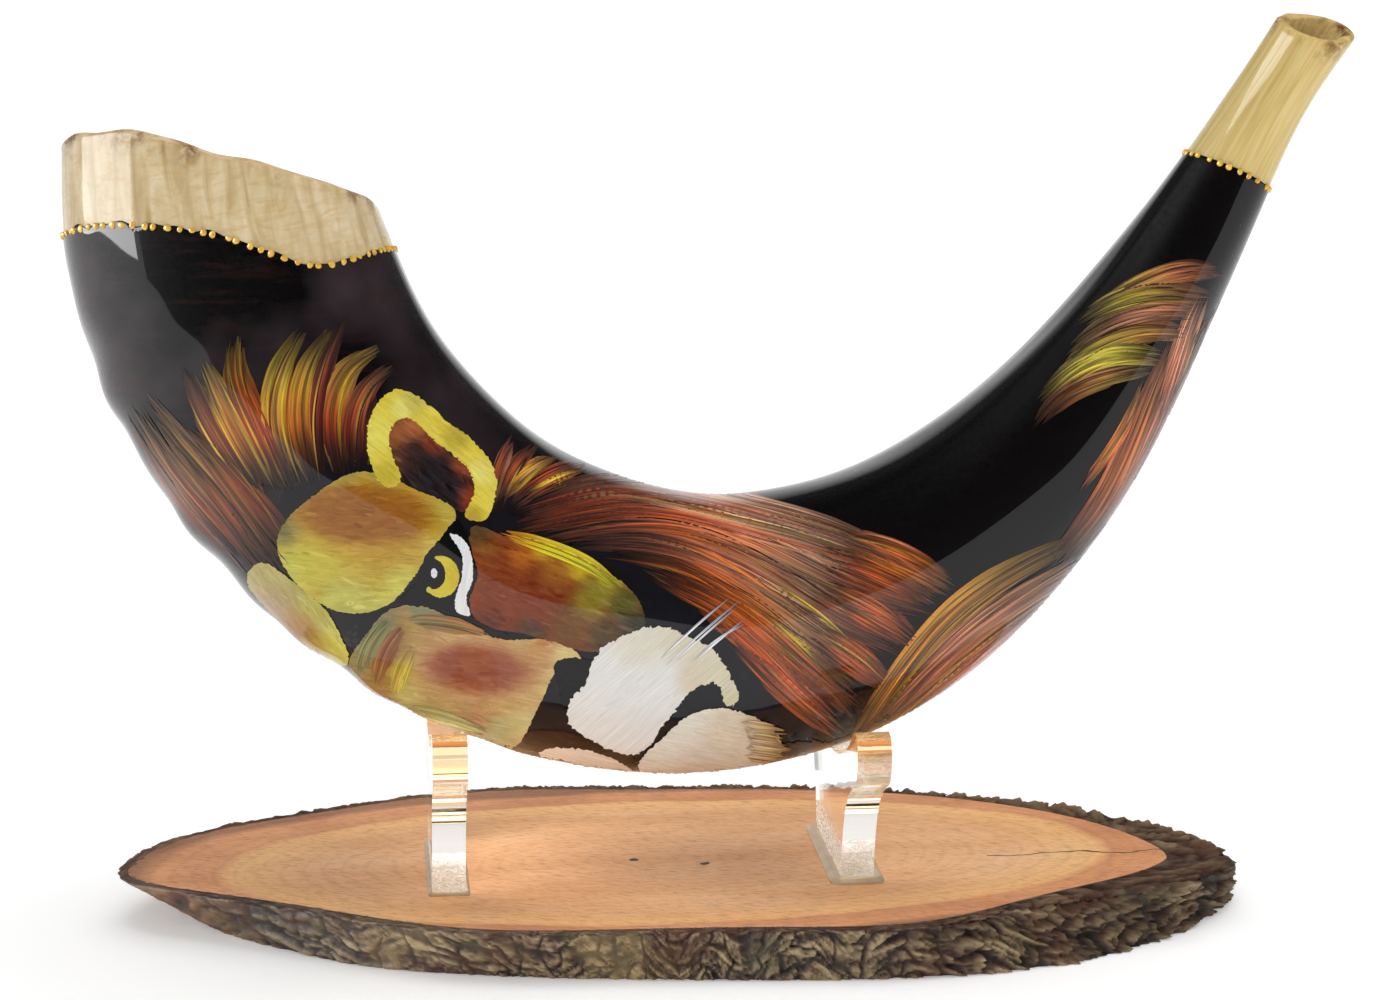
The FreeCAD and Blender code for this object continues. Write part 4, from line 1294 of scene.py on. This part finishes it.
acrylic = acrylic_material()
glue = glue_material()
for node, material in (("left_cradle", acrylic), ("right_cradle", acrylic), ("left_adhesive", glue),
                       ("right_adhesive", glue), ("slab_wood", wood_material())):
    piece = nodes[node]
    piece.data.materials.clear()
    piece.data.materials.append(material)
    # Clear plates and glue would cast shadows as dark as solid ones.
    piece.visible_shadow = node == "slab_wood"

# ---------------------------------------------------------------- stage, lights and camera

def flat_sheet(name, corners, material):
    """A four-cornered sheet of the studio."""
    mesh = bpy.data.meshes.new(name)
    mesh.from_pydata(corners, [], [(0, 1, 2, 3)])
    mesh.materials.append(material)
    sheet = bpy.data.objects.new(name, mesh)
    into_scene(sheet)
    return sheet


table = Nodes("white_table")
table.colour(table.ramp(table.noise(table.place(), 3, 2), [(0.0, (0.90,) * 3), (1.0, (0.94,) * 3)]))
table.set(Roughness=0.8, Specular_IOR_Level=0.1, Emission_Color=(1, 1, 1, 1), Emission_Strength=0.22)
floor = flat_sheet("pale_table", [(-TABLE, -TABLE, 0), (TABLE, -TABLE, 0), (TABLE, TABLE, 0),
                                  (-TABLE, TABLE, 0)], table.material)


def softbox(name, position, aim, width, height, power, mirrored):
    """Rectangular lamp. mirrored says whether its shape shows in the lacquer."""
    light = bpy.data.lights.new(name, "AREA")
    light.shape = "RECTANGLE"
    light.size = width
    light.size_y = height
    light.energy = power
    lamp = bpy.data.objects.new(name, light)
    lamp.location = position
    lamp.rotation_euler = (Vector(aim) - Vector(position)).to_track_quat("-Z", "Y").to_euler()
    lamp.visible_glossy = mirrored
    lamp.visible_diffuse = not mirrored
    into_scene(lamp)


softbox("front_fill", (-0.25, -1.6, 0.9), (0, 0, 0.1), 1.4, 1.0, 4.7, False)
softbox("left_window", (-0.95, -0.13, 0.42), (-0.1, 0, 0.15), 0.85, 0.75, 24, True)
softbox("right_front", (0.9, -1.0, 1.1), (0, 0, 0.1), 0.3, 0.3, 2.5, True)

sun = bpy.data.lights.new("ceiling_glow", "SUN")
sun.energy = 1.25
sun.angle = math.radians(60)
glow = bpy.data.objects.new("ceiling_glow", sun)
glow.rotation_euler = (math.radians(-12), math.radians(12), 0)
glow.visible_glossy = False
into_scene(glow)

# Black card in front of the table: only the lacquer's reflections show it.
black = Nodes("card_black")
black.colour(black.ramp(black.noise(black.place(), 3, 2), [(0.0, 0.004), (1.0, 0.008)]))
black.set(Roughness=1.0, Specular_IOR_Level=0.0)
seen_through = black.math("GREATER_THAN", black.add("LightPath").outputs["Transmission Depth"], 0.5)
black.link(black.math("SUBTRACT", 1.0, seen_through), black.shader.inputs["Alpha"])
card = flat_sheet("dark_card", [(-0.95, -0.62, 0), (2.0, -0.62, 0), (2.0, -0.62, 2.0),
                                (-0.95, -0.62, 2.0)], black.material)
for sight in ("camera", "diffuse", "shadow", "transmission", "volume_scatter"):
    setattr(card, "visible_" + sight, False)

# The room is pale, but darker in reflections, apart from a bright strip at the back.
world = bpy.data.worlds.new("pale_room")
world.use_nodes = True
room = Graph(world.node_tree)
rays = room.add("LightPath").outputs
reflected = room.ramp(room.axes(room.add("TexCoord").outputs["Generated"])["Y"],
                      [(0.87, 0.03), (0.995, 1.0)])
direct = room.math("LESS_THAN", rays["Transmission Depth"], 0.5)
mirrored = room.times(rays["Is Glossy Ray"], direct)
seen = room.mix(direct, 0.95, room.mix(mirrored, 0.56, reflected))
room.link(seen, room.tree.nodes["Background"].inputs["Color"])
bpy.context.scene.world = world

view = bpy.data.cameras.new("front_view")
view.lens = 85
view.sensor_width = 36
camera = bpy.data.objects.new("front_view", view)
camera.location = EYE
camera.rotation_euler = (math.radians(90 - VIEW_DROP), 0, math.radians(-VIEW_YAW))
into_scene(camera)
bpy.context.scene.camera = camera
bpy.context.scene.view_settings.view_transform = "Standard"
